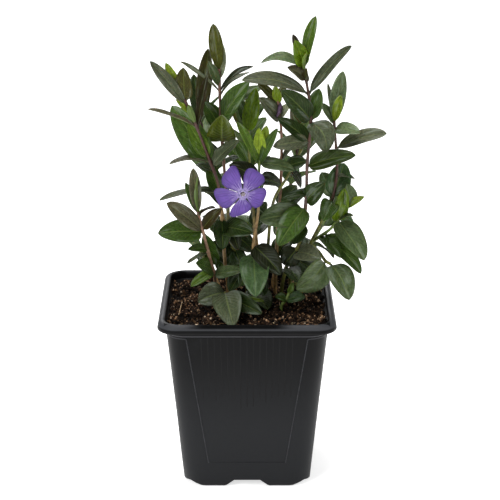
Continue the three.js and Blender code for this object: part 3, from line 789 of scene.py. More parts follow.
soil = {
    "top": 89.2, "half": 41.3, "cells": 150, "inset": 1.5, "seed": 11,
    "lumps": 0.8, "grain": 1.3, "grainScale": 0.34, "pits": 1.6, "pitScale": 0.62,
    # the height that gives each ring under the surface its width, and its own height
    "sideRings": [(87, 87.4), (5.5, 5.5)],
    "bedTone": rgb(46, 32, 23),
    "crumbs": 6800, "crumbSize": (0.24, 1.05), "crumbCurve": 2.4, "crumbStretch": (0.6, 1.2),
    "crumbLift": 0.25, "crumbMargin": 1.2, "lumpiness": (0.75, 1.2),
    "crumbTones": [
        rgb(11, 8, 6), rgb(42, 30, 21), rgb(84, 61, 43),
        rgb(142, 108, 80), rgb(188, 152, 120), rgb(224, 200, 172),
    ],
    "crumbShares": [23, 25, 23, 15, 9, 5],
    "chips": 260, "chipLength": (0.8, 2.4), "chipWidth": (0.3, 0.6), "chipThickness": (0.12, 0.3),
    "chipLift": 0.3, "chipMargin": 3, "chipShares": [0, 4, 4, 3, 3, 2],
    "threadGap": 1, "threadSides": 6,
    "threads": [
        # the points it passes, its girth and its tone
        ([(-34, -3, 92), (-34.5, -11, 91.6), (-35.2, -19, 90.4)], 0.22, rgb(150, 122, 84)),
        ([(30, 34, 90.5), (35, 30, 92.4), (39, 22, 91.5), (40, 18, 90)], 0.16, rgb(176, 156, 122)),
        ([(-14, -30, 90.2), (-9, -33, 91), (-4, -32, 90.2)], 0.18, rgb(120, 90, 60)),
        ([(24, -34, 90.2), (29, -30, 91), (35, -31, 90.2)], 0.16, rgb(110, 84, 58)),
        ([(-30, 30, 90.4), (-24, 33, 91.2), (-17, 31, 90.2)], 0.2, rgb(130, 100, 66)),
    ],
    # where the one pale crumb lies, its size and its tone
    "paleCrumb": ((13.7, -28.5), (1.3, 0.9, 0.8), rgb(196, 176, 140)), "paleLift": 0.6,
}


def soilHeight(x, y):
    # broad waves, crumbly clods on them and small pits
    waves = 0.8 * math.sin(0.31 * x + 0.6) * math.cos(0.27 * y - 0.4)
    waves += 0.5 * math.sin(0.83 * x + 0.47 * y) + 0.4 * math.cos(0.52 * x - 0.91 * y + 1.3)
    spot = Vector((x, y, 0))
    clods = noise.fractal(spot * soil["grainScale"], 0.8, 2.1, 5) * soil["grain"]
    pits = min(0, noise.noise(spot * soil["pitScale"] + Vector((7, 3, 1)))) * soil["pits"]
    return soil["top"] + waves * soil["lumps"] + clods + pits


def addSoilBed():
    bm = startMesh()
    half = soil["half"]
    corner = pot["innerCorner"]
    core = half - corner
    bmesh.ops.create_grid(bm, x_segments=soil["cells"], y_segments=soil["cells"], size=half)
    for vert in bm.verts:
        away = Vector((max(0, abs(vert.co.x) - core), max(0, abs(vert.co.y) - core), 0))
        if away.x and away.y:
            away *= max(away.x, away.y) / away.length
            vert.co.x = math.copysign(core + away.x, vert.co.x)
            vert.co.y = math.copysign(core + away.y, vert.co.y)
        vert.co.z = soilHeight(vert.co.x, vert.co.y)
    edges = [edge for edge in bm.edges if edge.is_boundary]
    was = (half, corner, 0)
    for widthHeight, height in soil["sideRings"]:
        verts, edges = pullRing(bm, edges)
        becomes = (bodyHalf(widthHeight) - soil["inset"], corner, height)
        moveRing(verts, was, becomes)
        was = becomes
    bmesh.ops.edgeloop_fill(bm, edges=edges)
    toneAll(bm, soil["bedTone"])
    facing(bm)
    finishPiece("peatBed", bm, ["peat"], "peat", ["soil"])


def seedMesh(make, **size):
    # a mesh that is dropped many times
    seed = bmesh.new()
    make(seed, **size)
    mesh = bpy.data.meshes.new("seed")
    seed.to_mesh(mesh)
    seed.free()
    return mesh


def addCrumbs():
    # a lump and a chip, each turned, stretched and toned many times
    bm = startMesh()
    toneLayer = bm.verts.layers.float_color["tone"]
    chance = random.Random(soil["seed"])
    lump = seedMesh(bmesh.ops.create_icosphere, subdivisions=1, radius=1)
    chip = seedMesh(bmesh.ops.create_cube, size=1.4)

    def somewhere(margin):
        reach = soil["half"] - margin
        x = chance.uniform(-reach, reach)
        y = chance.uniform(-reach, reach)
        return Vector((x, y, soilHeight(x, y)))

    def drop(mesh, spot, scales, tone):
        known = len(bm.verts)
        bm.from_mesh(mesh)
        bm.verts.ensure_lookup_table()
        angle = chance.uniform(0, fullTurn)
        axis = Vector((chance.random(), chance.random(), 0.3))
        move = Matrix.Translation(spot) @ Matrix.Rotation(angle, 4, axis) @ Matrix.Diagonal((*scales, 1))
        for vert in bm.verts[known:]:
            vert.co = move @ (vert.co * chance.uniform(*soil["lumpiness"]))
            vert[toneLayer] = tone

    for _ in range(soil["crumbs"]):
        size = lerp(*soil["crumbSize"], chance.random() ** soil["crumbCurve"])
        tone = chance.choices(soil["crumbTones"], soil["crumbShares"])[0]
        scales = [size * chance.uniform(*soil["crumbStretch"]) for _ in range(3)]
        drop(lump, somewhere(soil["crumbMargin"]) + upward * size * soil["crumbLift"], scales, tone)
    for _ in range(soil["chips"]):
        length = chance.uniform(*soil["chipLength"])
        width = length * chance.uniform(*soil["chipWidth"])
        scales = (length, width, length * chance.uniform(*soil["chipThickness"]))
        tone = chance.choices(soil["crumbTones"], soil["chipShares"])[0]
        drop(chip, somewhere(soil["chipMargin"]) + upward * soil["chipLift"], scales, tone)
    (x, y), scales, tone = soil["paleCrumb"]
    drop(lump, Vector((x, y, soilHeight(x, y) + soil["paleLift"])), scales, tone)
    finishPiece("peatCrumbs", bm, ["peat"], "peat")


def addThreads():
    # fine roots that lie on the peat
    bm = startMesh()
    for points, girth, tone in soil["threads"]:
        path = evenPath(smoothPath(points), soil["threadGap"])
        sweep(bm, path, [girth] * len(path), soil["threadSides"], [tone] * len(path))
    facing(bm)
    finishPiece("rootThreads", bm, ["stalk"], "peat")


addSoilBed()
addCrumbs()
addThreads()
print("soil made")


# Stems and leaves

plant = {
    "stemFoot": 80, "stemRise": 92, "stemSides": 10, "seed": 100,
    "rootGirth": 1.05, "forkGirth": 0.85, "tipGirth": 0.62, "ringGap": 1.6,
    "nodeSwell": 0.25, "nodeReach": 1.3, "toneChange": 5,
    "columns": 10, "rows": (8, 32), "rowGap": 1.2, "thickness": 0.36,
    "neck": 0.62, "tip": 0.14, "bareFoot": 0.06, "shade": 0.15, "twist": 9,
    # a leaf is slender under this width to its length, and each kind has its outline
    "slender": 0.34, "slenderOutline": (0.62, 0.62), "broadOutline": (0.38, 0.64),
    "fold": 0.12, "foldCurve": 1.4, "midCrowding": 1.25,
    "ripple": 0.35, "ripples": 7, "rib": 0.16, "ribReach": 0.12,
}

# each tone and how far bronze has flushed it
tones = {
    "green": (rgb(58, 82, 32), 0.1),
    "deep": (rgb(36, 54, 20), 0.1),
    "black": (rgb(24, 34, 17), 0.2),
    "forest": (rgb(42, 60, 14), 0.1),
    "blueGreen": (rgb(58, 82, 50), 0.05),
    "jade": (rgb(74, 98, 66), 0.05),
    "light": (rgb(82, 106, 42), 0),
    "fresh": (rgb(72, 96, 30), 0),
    "bright": (rgb(84, 108, 12), 0),
    "moss": (rgb(72, 84, 22), 0.1),
    "young": (rgb(116, 136, 38), 0),
    "olive": (rgb(72, 76, 16), 0.15),
    "darkOlive": (rgb(60, 60, 20), 0.25),
    "umber": (rgb(36, 33, 14), 0.3),
    "bronze": (rgb(62, 58, 26), 0.6),
    "purple": (rgb(34, 28, 20), 0.6),
    # the grey-purple, grey and silver tones paint in the pale sheen that light gives glossy leaves
    "greyPurpleSheen": (rgb(86, 84, 66), 0.3),
    "slate": (rgb(70, 78, 62), 0.1),
    "greySheen": (rgb(84, 90, 74), 0.15),
    "greyGreen": (rgb(76, 92, 62), 0.1),
    "mist": (rgb(98, 114, 86), 0.05),
    "silverSheen": (rgb(126, 132, 114), 0.05),
}

stalkTones = {
    "red": rgb(68, 34, 27),
    "pink": rgb(118, 84, 66),
    "brown": rgb(76, 48, 38),
    "tan": rgb(160, 132, 88),
    "rosy": rgb(150, 120, 98),
    "olive": rgb(104, 108, 44),
    "green": rgb(96, 118, 48),
}

# Each shoot: the node it stands for, its root in the soil unless it forks from
# another shoot, the tones of its foot and its top and where one turns into the
# other as a share of its length, the points its stem passes,
# and its leaves as height of the leaf's node, tip x, y, z, width, arch, turn
# to the front and tone.
shoots = [
    {
        "node": "stem_far_left", "root": (-10, 14), "stalk": ("tan", "red", 0.45),
        "route": [
            (-11.5, 9, 108), (-13, 1, 136), (-15, -6, 158),
            (-19, -8, 170), (-25, -10, 187), (-31, -12, 202),
        ],
        "leaves": [
            (199, -47, -18, 222, 6, 0.8, 1, "greySheen"), (201, -40, -12, 220, 5, 1, 0.8, "young"),
            (201, -31.3, -14, 218, 9, 1, 1.5, "darkOlive"), (188, -49, -12, 197, 7, 1, 0, "greyPurpleSheen"),
            (168, -38, 2, 195.5, 14, 2, 2.5, "green"), (194, -35, -13, 202, 3, 0.5, 0.5, "young"),
            (189, -29, -16, 200, 3, 0.5, 0, "light"), (186, -20, -5, 212, 5, 1, 0.3, "umber"),
            (171, -29.7, -5, 188.7, 8, 1, 1.5, "fresh"), (169, -39, -12, 169, 7, 2, 0, "greyPurpleSheen"),
            (164, -26, 2, 165, 6, 1, 0, "deep"), (150, -20, 2, 166, 8, 1.5, 1, "green"),
            (167, -4, -12, 181, 8, 1.5, 0.8, "slate"), (131, 3, -14, 133, 11, 2, 1.2, "deep"),
            (152, -44.6, -10, 149.3, 5.5, 3, 0, "greySheen"), (136, -12.5, -4, 121, 9, 1.5, 1.5, "deep"),
        ],
    },
    {
        "node": "stem_low_left", "root": (-16, 5), "stalk": ("rosy", "pink", 0.8),
        "route": [(-17.5, 1, 107), (-20, -6, 120), (-22, -9, 130), (-25, -12, 144)],
        "leaves": [
            (143, -27, -14, 167, 6, 1, 1, "greyPurpleSheen"), (143, -25, -17, 163, 4, 0.5, 0, "light"),
            (143, -31, -12, 159, 4, 1, 0.5, "green"), (133, -40, -21, 151, 9, 1.5, 1, "greyPurpleSheen"),
            (132.5, -45, -18, 134.3, 12.5, 2, 1.2, "green"), (142, -16, -15, 147, 4, 1, 0, "purple"),
            (134, -13, -14, 146, 7, 1, 1, "bronze"), (132, -16.4, 3, 110.5, 7.5, 1.5, 1, "green"),
            (122, -30, -14, 124.5, 5, 1, 0.8, "green"), (120, -31, -8, 115, 3, 1, 0, "greySheen"),
            (108, -26, -14, 117, 9, 1, 1, "green"), (107, -29, -10, 103, 6, 1.5, 0.5, "light"),
            (106, -2, -9, 111.5, 7, 1, 1, "greyGreen"),
        ],
    },
    {
        "node": "stem_left_tall", "root": (0, 17), "stalk": ("olive", "pink", 0.4),
        "route": [(-2, 12, 108), (-9, 5, 124), (-10, 5, 140), (-12, 5, 165), (-13.5, 5, 190), (-14, 4, 214)],
        "leaves": [
            (213, -16.8, 2, 237, 7, 1, 1.5, "olive"), (208, -13.4, 9, 227, 6.2, 1, 1, "silverSheen"),
            (205, -19.3, -2, 219, 4.5, 0.5, 1, "greyGreen"), (203, 3, 6, 215, 5, 2.6, 0.2, "black"),
            (200, 1, 11, 211, 4, 2, 0, "greySheen"), (176, -12.3, -20, 195.5, 14.5, 2, 2.5, "moss"),
            (187, 1, -6, 209, 12, 1.5, 1, "green"), (165, -28, 16, 176, 8, 1.5, 0, "deep"),
            (140, -24, 14, 150, 10, 1.5, 0, "deep"), (141, -1, -5, 150, 10, 1.5, 0.8, "deep"),
            (104, -9, -4, 98, 10, 2, 0.5, "deep"), (128, 3, 10, 116, 11, 2, 1, "deep"),
            (203, -33.5, 10, 216.6, 4, 1, 0, "greySheen"), (190, 7.8, 10, 203.8, 8, 2, 0.5, "greyGreen"),
            (182, -22, 10, 196, 9, 1.5, 1, "green"), (134, -4.5, -2, 120, 7.5, 1.5, 1.5, "black"),
            (118, -1.5, 3, 107, 9, 1.5, 1.5, "deep"),
        ],
    },
    {
        "node": "stem_centre_front", "root": (3, 8), "stalk": ("tan", "green", 0.65),
        "route": [(3, 3, 112), (3.5, 0, 124), (5.8, -6, 143), (6, -11, 162), (6.3, -12, 171)],
        "leaves": [
            (170, 6, -15, 188, 6.5, 1, 1, "young"), (170, 9.8, -10, 188, 5.5, 1, 1, "young"),
            (168, -5, -19, 192, 5, 1.5, 0.8, "fresh"), (168, 15, -16, 188, 5, 1.5, 0.8, "green"),
            (169, 24, -14, 166, 7, 2, 0.8, "greyGreen"), (161, 17, -20, 160, 8, 1.5, 1, "black"),
            (161, -9, -10, 168, 9, 1, 1, "black"), (122, 17.5, -12, 110, 12, 2, 0.8, "black"),
            (117, 4.4, -22, 101.5, 15, 2.5, 0.8, "jade"), (112, -3.5, -8.5, 102.5, 8, 1.5, 0.8, "deep"),
            (102, 9, -13, 99, 11, 2, 0.5, "deep"), (95, 10.5, -13, 91.5, 13, 1, 0, "deep"),
            (153, -3, -9.5, 164, 8, 1, 1, "black"),
        ],
    },
    {
        "node": "stem_centre_back", "root": (8, 20), "stalk": ("tan", "olive", 0.4),
        "route": [(5, 14, 120), (2, 10, 150), (0.5, 8, 182)],
        "leaves": [
            (181, 4.5, 3, 204.4, 8.5, 1, 1.2, "bright"), (180, -6, 14, 200, 6, 1, 0, "green"),
            (180, 12, 14, 198, 6, 1, 0, "green"), (160, -6, 16, 174, 10, 1.5, 0, "green"),
            (140, -5, 20, 150, 10, 1.5, 0, "deep"), (128, 10, 20, 140, 10, 1.5, 0, "deep"),
        ],
    },
    {
        "node": "stem_centre_bud", "root": (15, 16), "stalk": ("tan", "pink", 0.4),
        "route": [(16, 12, 125), (17.5, 8, 155), (17.3, 2, 184), (15.4, -2, 199)],
        "leaves": [
            (198, 5.5, -5, 208, 5, 1, 0.5, "darkOlive"), (198, 20, 6, 207, 4, 1, 0, "darkOlive"),
            (188, 6, -9, 202, 7.5, 1.5, 1, "greySheen"), (190, 22, -5, 198, 5, 1, 0.8, "silverSheen"),
            (166, 27, -7, 179, 6, 1.5, 0.6, "greySheen"), (140, 26, 16, 150, 10, 1, 0, "deep"),
            (128, 24, 20, 136, 10, 1, 0, "deep"), (112, 24, 22, 120, 11, 2, 0, "deep"),
            (150, 8, 2, 160, 8, 1.5, 0.5, "deep"), (197, 14, -6, 207.5, 4.5, 0.5, 0.5, "young"),
        ],
    },
    {
        "node": "stem_slanting", "root": (10, 12), "stalk": ("olive", "olive", 0.5),
        "route": [(11, 7, 120), (14, 3, 146), (21.5, 1, 160), (28.5, 3, 174)],
        "leaves": [
            (162, 28, 4, 152, 6, 1, 0.8, "black"), (133, 5, 3, 142, 7, 1, 0, "deep"),
            (173, 36, 6, 186, 6, 1, 0.5, "green"), (173, 24, 10, 188, 6, 1, 0, "green"),
        ],
    },
    {
        "node": "stem_right_tall", "root": (18, 9), "stalk": ("olive", "brown", 0.3),
        "route": [
            (21, 4, 110), (26, -2, 121), (29, -6, 136), (30, -9, 150),
            (30.3, -11, 169), (31.8, -11, 193), (28, -10, 218.5),
        ],
        "leaves": [
            (217.5, 33.4, -12, 243, 6.5, 1, 0.5, "fresh"), (217, 23.6, -14, 231.5, 7.5, 1, 0.8, "bright"),
            (217, 22.6, -5, 233, 4, 1, 0.5, "purple"), (217, 7, -8, 219.6, 6.5, 5, 0.6, "mist"),
            (216, 29, -16, 226, 4, 0.5, 0.5, "bright"), (212, 20, -14, 218.4, 7, 1, 1, "greyPurpleSheen"),
            (211, 29, -16, 218, 4.5, 0.5, 1, "bronze"), (204, -2.5, -14, 212, 9, 5.2, 0.8, "greySheen"),
            (204, 51, -14, 229, 7, 2, 0.8, "slate"), (191, 17, -20, 208, 11, 2, 1.5, "deep"),
            (191, 36, -6, 206, 8, 1, 1, "green"), (180, 15.5, -8, 191.4, 8, 1.5, 1.2, "deep"),
            (190, 39.8, -16, 175.9, 12, 8.5, 1, "slate"), (167, 54, -18, 175, 10, 2, 1, "forest"),
            (148, 39, -16, 160, 10, 1.5, 1.2, "deep"), (152, 17, -13, 150, 6, 1.5, 0.5, "deep"),
            (121, 19, -2, 112, 11, 1, 0.8, "black"), (118.5, 38, -13, 119, 10, 2.5, 1, "greySheen"),
            (108, 27, -14, 106, 11, 2, 0.5, "deep"), (136, 22, -10, 126, 10, 1.5, 0.8, "deep"),
            (145, 15.7, -19, 128, 13, 3, 1, "green"), (180, 13, -15, 178.5, 8, 2, 1.5, "greySheen"),
            (170, 18, -3, 163, 8, 2, 1, "deep"), (141.5, 6.3, -14, 140.2, 14, 2, 1.5, "greyGreen"),
        ],
    },
    {
        "node": "stem_right_forked", "root": (23, 16), "stalk": ("olive", "green", 0.5),
        "route": [(24, 10, 110), (33, 5, 121.5), (43, 1, 130.5), (48, 0, 137), (54, 0, 146)],
        "leaves": [
            (126, 48, -11, 119, 9, 2, 0.8, "green"), (128, 58.8, -10, 110, 10.5, 2, 0.8, "green"),
            (112, 42, -2, 102, 11, 2, 0.5, "deep"), (135.5, 59.6, -18, 119.9, 14.5, 1, 1.2, "greyGreen"),
            (133, 47, -8, 131, 3, 0.5, 0, "light"), (134, 49.4, -5, 154, 9, 1, 1, "bright"),
            (143.5, 51, -2, 155.7, 9, 1, 1, "greyGreen"), (143, 60, -2, 149, 4, 1, 0.5, "young"),
            (136, 54.5, -4, 139.6, 3.5, 1, 0.5, "greyGreen"),
        ],
    },
    {
        "node": "stem_right_forked", "root": None, "stalk": ("olive", "brown", 0.25),
        "route": [
            (33, 5, 121.5), (39, 0, 136), (43.7, -1, 147),
            (46, 1, 161), (45.5, 3, 173), (44.2, 3, 187.5),
        ],
        "leaves": [
            (187, 48, 0, 213.5, 8, 1, 1, "mist"), (187, 47, -4, 202, 5, 0.5, 1, "young"),
            (187, 41, 6, 206, 2.5, 1, 0.5, "greySheen"), (186, 37.5, 4, 196.5, 5, 1, 0.5, "greyGreen"),
            (183, 57, -5, 183.2, 8, 1.5, 0.8, "mist"), (173, 70.5, -3, 182.5, 9, 2.5, 0.8, "greySheen"),
            (148, 50, 6, 164.6, 12.5, 1.5, 2, "blueGreen"),
            (146.5, 38.4, -21, 141.9, 9.5, 1.5, 0.6, "green"),
            (148, 38.3, 5, 160, 9, 1.5, 1.5, "greyGreen"), (159, 55.5, 4, 157, 4, 1, 0.5, "greySheen"),
        ],
    },
    {
        "node": "stem_right_forked", "root": None, "stalk": ("olive", "olive", 0.5),
        "route": [(33, 5, 121.5), (37.5, -2, 119), (40.6, -8, 116), (43, -9.5, 115)],
        "leaves": [
            (116, 25.2, -15, 102.8, 16.5, 2.5, 1.2, "greyGreen"),
            (115, 52.2, -23, 100.2, 13.5, 3, 1, "greyGreen"),
        ],
    },
    {
        "node": "shoot_low_front", "root": (18, -8), "stalk": ("olive", "green", 0.3),
        "route": [(20.5, -8, 95), (22, -7, 99)],
        "leaves": [
            (98, 24, -7, 104, 3, 0.5, 0.8, "light"), (95, 30, -11, 97.5, 7, 1, 0.8, "blueGreen"),
            (95, 14.5, -10, 97.5, 5, 1, 0.8, "green"),
        ],
    },
    {
        "node": "shoot_low_left", "root": (-10.5, -5), "stalk": ("olive", "olive", 0.5),
        "route": [(-11.2, -7.5, 96), (-11.6, -9, 99.5)],
        "leaves": [
            (99, -6.8, -37, 90.9, 15, 3, 0.6, "slate"), (99, -25.4, -15, 96.4, 12.5, 3.5, 1, "slate"),
            (97, 7.5, -25, 93.5, 10, 2, 1, "deep"), (96, 8.5, -18, 98, 3, 1, 0.5, "bright"),
        ],
    },
    {
        "node": "stem_back_left", "root": (-6, 24), "stalk": ("tan", "red", 0.4),
        "route": [(-10, 26, 115), (-16, 26, 145), (-22, 22, 172), (-24, 20, 183)],
        "leaves": [
            (120, -24, 41, 126, 10, 2, 0, "deep"), (106, -21, 14, 118, 12, 2, 1.5, "deep"),
            (120, -10, 46, 126, 11, 2, 0, "green"), (137, -30, 14, 150, 8, 1.5, 0, "deep"),
            (137, -14, 48, 148, 11, 2, 0, "green"), (154, -31, 38, 163, 11, 2, 0, "green"),
            (154, -4, 20, 164, 10, 1.5, 0, "deep"), (170, -24, 44, 184, 10, 1.5, 0, "greyGreen"),
            (170, -30, 8, 182, 10, 1.5, 0, "green"), (182, -27.5, 20, 208, 7.5, 1, 0, "deep"),
            (182, -14, 14, 198, 6, 1, 0, "green"), (183, -19.8, 14, 222.3, 8, 1, 1.5, "darkOlive"),
            (120, -19.5, 13, 127, 9, 1, 1.5, "green"), (115, -2.5, 17, 123, 9, 1, 1.5, "deep"),
            (112, -15, 17, 102, 11, 1.5, 1.5, "deep"), (112, -4, 18, 103, 9, 1.5, 1.5, "black"),
        ],
    },
    {
        "node": "stem_back_middle", "root": (6, 28), "stalk": ("tan", "olive", 0.4),
        "route": [(4, 30, 120), (0, 32, 150), (-2, 30, 178)],
        "leaves": [
            (118, -4, 48, 124, 11, 2, 0, "green"), (106, -6, 36, 100, 11, 2, 0, "deep"),
            (118, 12, 46, 122, 11, 2, 0, "deep"), (135, 8, 46, 146, 10, 1.5, 0, "blueGreen"),
            (152, -12, 46, 166, 10, 1.5, 0, "green"), (152, 12, 22, 164, 10, 1.5, 0, "deep"),
            (166, 10, 44, 180, 10, 1.5, 0, "green"), (166, -14, 22, 182, 10, 1.5, 0, "green"),
            (177, -10, 40, 192, 7, 1, 0, "olive"), (177, 4, 36, 197, 6, 1, 0, "bright"),
            (177, -4, 20, 196, 6, 1, 0, "green"),
        ],
    },
    {
        "node": "stem_back_right", "root": (14, 27), "stalk": ("tan", "red", 0.4),
        "route": [(18, 30, 118), (23, 32, 145), (27, 31, 168)],
        "leaves": [
            (116, 22, 50, 120, 11, 2, 0, "green"), (104, 30, 20, 98, 11, 2, 0, "deep"),
            (130, 34, 40, 142, 11, 2, 0, "deep"), (146, 20, 50, 158, 11, 2, 0, "blueGreen"),
            (146, 36, 22, 156, 10, 1.5, 0, "green"), (160, 40, 42, 172, 10, 1.5, 0, "greyGreen"),
            (160, 16, 30, 176, 10, 1.5, 0, "green"), (167, 24, 42, 186, 7, 1, 0, "bronze"),
            (167, 32, 20, 184, 7, 1, 0, "green"), (167, 36, 34, 186, 6, 1, 0, "young"),
        ],
    },
    {
        "node": "stem_back_far_right", "root": (26, 27), "stalk": ("olive", "green", 0.4),
        "route": [(31, 31, 106), (40, 33, 122), (46, 30, 136)],
        "leaves": [
            (104, 34, 50, 110, 11, 2, 0, "deep"), (112, 46, 16, 110, 8, 2, 0, "deep"),
            (122, 50, 48, 130, 11, 2, 0, "green"), (130, 58, 30, 122, 11, 2, 0, "blueGreen"),
            (135, 50, 36, 150, 7, 1, 0, "bright"), (135, 44, 20, 152, 7, 1, 0, "green"),
        ],
    },
    {
        "node": "stem_back_far_left", "root": (-15, 20), "stalk": ("tan", "olive", 0.4),
        "route": [(-22, 26, 104), (-29, 28, 118)],
        "leaves": [
            (104, -20, 46, 108, 11, 2, 0, "deep"), (110, -38, 22, 124, 8, 1.5, 0, "green"),
            (117, -34, 42, 130, 7, 1, 0, "green"), (117, -38, 30, 134, 6, 1, 0, "bronze"),
            (117, -24, 20, 136, 6, 1, 0, "young"),
        ],
    },
]


def nodeAt(path, height):
    # the point of a stem at a height, and the way the stem runs there
    best = min(range(len(path)), key=lambda index: abs(path[index].z - height))
    ahead = path[min(best + 1, len(path) - 1)] - path[max(best - 1, 0)]
    return path[best], ahead.normalized()


def leafShare(along, slender):
    # how much of its full width a leaf has along its length
    bare = plant["bareFoot"]
    if along <= bare:
        return 0
    share = (along - bare) / (1 - bare)
    low, high = plant["slenderOutline"] if slender else plant["broadOutline"]
    peak = low / (low + high)
    return (share / peak) ** low * ((1 - share) / (1 - peak)) ** high


def thicken(bm, known, spots, mapName, thickness):
    # maps the new faces by each corner's spot and gives them their thickness
    faces = [face for face in bm.faces if face not in known]
    mapLayer = bm.loops.layers.uv[mapName]
    for face in faces:
        face.normal_update()
        for loop in face.loops:
            loop[mapLayer].uv = spots[loop.vert]
    bmesh.ops.solidify(bm, geom=faces, thickness=thickness)


def addLeaf(bm, start, direction, leaf, chance, thickness):
    _, x, y, z, width, arch, turn, tone = leaf
    axis = Vector((x, y, z)) - start
    length = axis.length
    axis.normalize()
    top = direction + frontward * turn
    top = (top - axis * top.dot(axis)).normalized()
    side = axis.cross(top)
    slender = width < length * plant["slender"]
    fewest, most = plant["rows"]
    rows = max(fewest, min(most, round(length / plant["rowGap"])))
    known = set(bm.faces)
    verts = bmesh.ops.create_grid(bm, x_segments=plant["columns"], y_segments=rows, size=0.5)["verts"]
    colour, flush = tones[tone]
    shade = chance.uniform(1 - plant["shade"], 1 + plant["shade"])
    colour = (colour[0] * shade, colour[1] * shade, colour[2] * shade, flush)
    phase = chance.uniform(0, fullTurn)
    twist = math.radians(chance.uniform(-plant["twist"], plant["twist"]))
    toneLayer = bm.verts.layers.float_color["tone"]
    spots = {}
    for vert in verts:
        across = math.copysign(abs(vert.co.x * 2) ** plant["midCrowding"], vert.co.x)
        along = vert.co.y + 0.5
        spots[vert] = ((across + 1) / 2, along)
        share = leafShare(along, slender)
        least = plant["neck"] if along < 0.5 else plant["tip"]
        reach = max(least, share * width / 2)
        lift = plant["fold"] * share * width * abs(across) ** plant["foldCurve"]
        lift -= plant["rib"] * math.exp(-(across / plant["ribReach"]) ** 2) * min(1, share * 2)
        lift += plant["ripple"] * share * across ** 2 * math.sin(along * plant["ripples"] + phase + across)
        slope = 4 * (1 - 2 * along) * arch / length
        normal = (top - axis * slope).normalized()
        spin = Matrix.Rotation(twist * along, 3, axis)
        vert.co = start + axis * along * length + top * (4 * along * (1 - along) * arch)
        vert.co += spin @ (side * (reach * across) + normal * lift)
        vert[toneLayer] = colour
    thicken(bm, known, spots, "leafMap", thickness)
    # the copy made by solidify is the underside, but not at the leaf's very foot
    for face in bm.faces:
        if face not in known:
            face.normal_update()
            distance = (face.calc_center_median() - start).length
            if face.normal.dot(top) < -0.05 and distance > 0.1:
                face.material_index = 1


def addShoot(shoot, stalkMesh, leafMesh, chance):
    foot = []
    if shoot["root"]:
        foot = [(*shoot["root"], plant["stemFoot"]), (*shoot["root"], plant["stemRise"])]
    path = smoothPath([*foot, *shoot["route"]])
    start = plant["rootGirth"] if shoot["root"] else plant["forkGirth"]
    fine = evenPath(path, plant["ringGap"])
    heights = [leaf[0] for leaf in shoot["leaves"]]
    low, high = (stalkTones[name] for name in shoot["stalk"][:2])
    change = shoot["stalk"][2]
    girths = []
    colours = []
    for index, point in enumerate(fine):
        share = index / (len(fine) - 1)
        swell = sum(math.exp(-((point.z - height) / plant["nodeReach"]) ** 2) for height in heights)
        girths.append(lerp(start, plant["tipGirth"], share) * (1 + plant["nodeSwell"] * min(1, swell)))
        mixed = min(1, max(0, (share - change) * plant["toneChange"]))
        colours.append(tuple(lerp(first, last, mixed) for first, last in zip(low, high)))
    sweep(stalkMesh, fine, girths, plant["stemSides"], colours)
    for leaf in shoot["leaves"]:
        point, direction = nodeAt(path, leaf[0])
        addLeaf(leafMesh, point, direction, leaf, chance, plant["thickness"])


def addStems():
    names = list(dict.fromkeys(shoot["node"] for shoot in shoots))
    for index, name in enumerate(names):
        chance = random.Random(plant["seed"] + index)
        stalkMesh = startMesh()
        leafMesh = startMesh("leafMap")
        for shoot in shoots:
            if shoot["node"] == name:
                addShoot(shoot, stalkMesh, leafMesh, chance)
        facing(stalkMesh)
        finishPiece(name + "_stalk", stalkMesh, ["stalk"], "foliage", [name])
        finishPiece(name + "_leaves", leafMesh, ["leafUpper", "leafUnder"], "foliage", [name])


addStems()
print("stems and leaves made")


# Flower and bud

# Turned parts are given as points of radius and depth round the flower's axis,
# which starts in the plane of its throat.
flower = {
    "centre": (-2, -26, 157), "facing": (0, -0.95, 0.31),
    # angle, length and how much longer the clockwise corner is
    "petals": ((-13, 11, -1), (56, 13.6, 0), (126, 14.2, 1.5), (191, 13.6, 1.3), (263, 10.6, 2.6)),
    "columns": 14, "rows": 16, "tilt": 5, "thickness": 0.36, "seed": 5,
    "petalStart": 2.1, "petalNeck": 1.15, "petalSpread": 4.25, "cornerDrop": 1.8, "sideDrop": 0.4,
    "petalRise": 0.5, "petalDroop": 0.9, "ripple": 0.22, "ripples": 5,
    "tube": [
        (1.1, -9), (1.6, -9), (1.8, -6.5), (2, -5), (2.3, -3), (2.5, -1.1), (2.7, -0.4), (2.7, 0),
        (2.4, 0.25), (2, 0.15), (1.75, -0.5), (1.6, -1.6), (1.5, -4), (1.3, -6),
    ],
    "shadeBelow": -0.3, "shadeWithin": 1.75,
    "star": [(1.75, 0.05), (2.1, 0.25), (1.95, 0.42), (1.55, 0.4), (1.45, 0.1)],
    "starTurn": 16,
    "pistil": [
        (0, -9), (0.4, -9), (0.42, -3.2), (0.6, -2.8), (1.15, -2.6), (1.25, -2), (0.9, -1.7),
        (0.75, -1.2), (0.5, -0.9), (0, -0.8),
    ],
    "antherCentre": (0.2, -0.25, -0.35), "antherOut": 0.65, "antherLean": -35,
    "antherSize": (0.7, 0.42, 0.28),
    "calyx": [
        (0, -10.7), (0.9, -10.65), (1.7, -10.2), (2.3, -9.3), (2.5, -7.6), (2.35, -6.8),
        (1.95, -6.8), (1.9, -9.3), (0, -9.3),
    ],
    "stalk": [(5.9, -7.6, 150), (4, -10, 153), (0.5, -14, 154)],
    "stalkEnd": (0, 0, -10.3), "stalkGirth": 0.52, "stalkGap": 0.8,
    "sepalFoot": (2.2, 0, -7.8), "sepalTip": (4, 0, -3.8), "sepalThickness": 0.3,
    # width, arch, turn and tone
    "sepal": (1.6, 0.2, 0, "light"),
}


def flowerFrame():
    out = Vector(flower["facing"]).normalized()
    right = Vector((1, 0, 0))
    turned = Matrix((right, out.cross(right), out)).transposed().to_4x4()
    return Matrix.Translation(flower["centre"]) @ turned


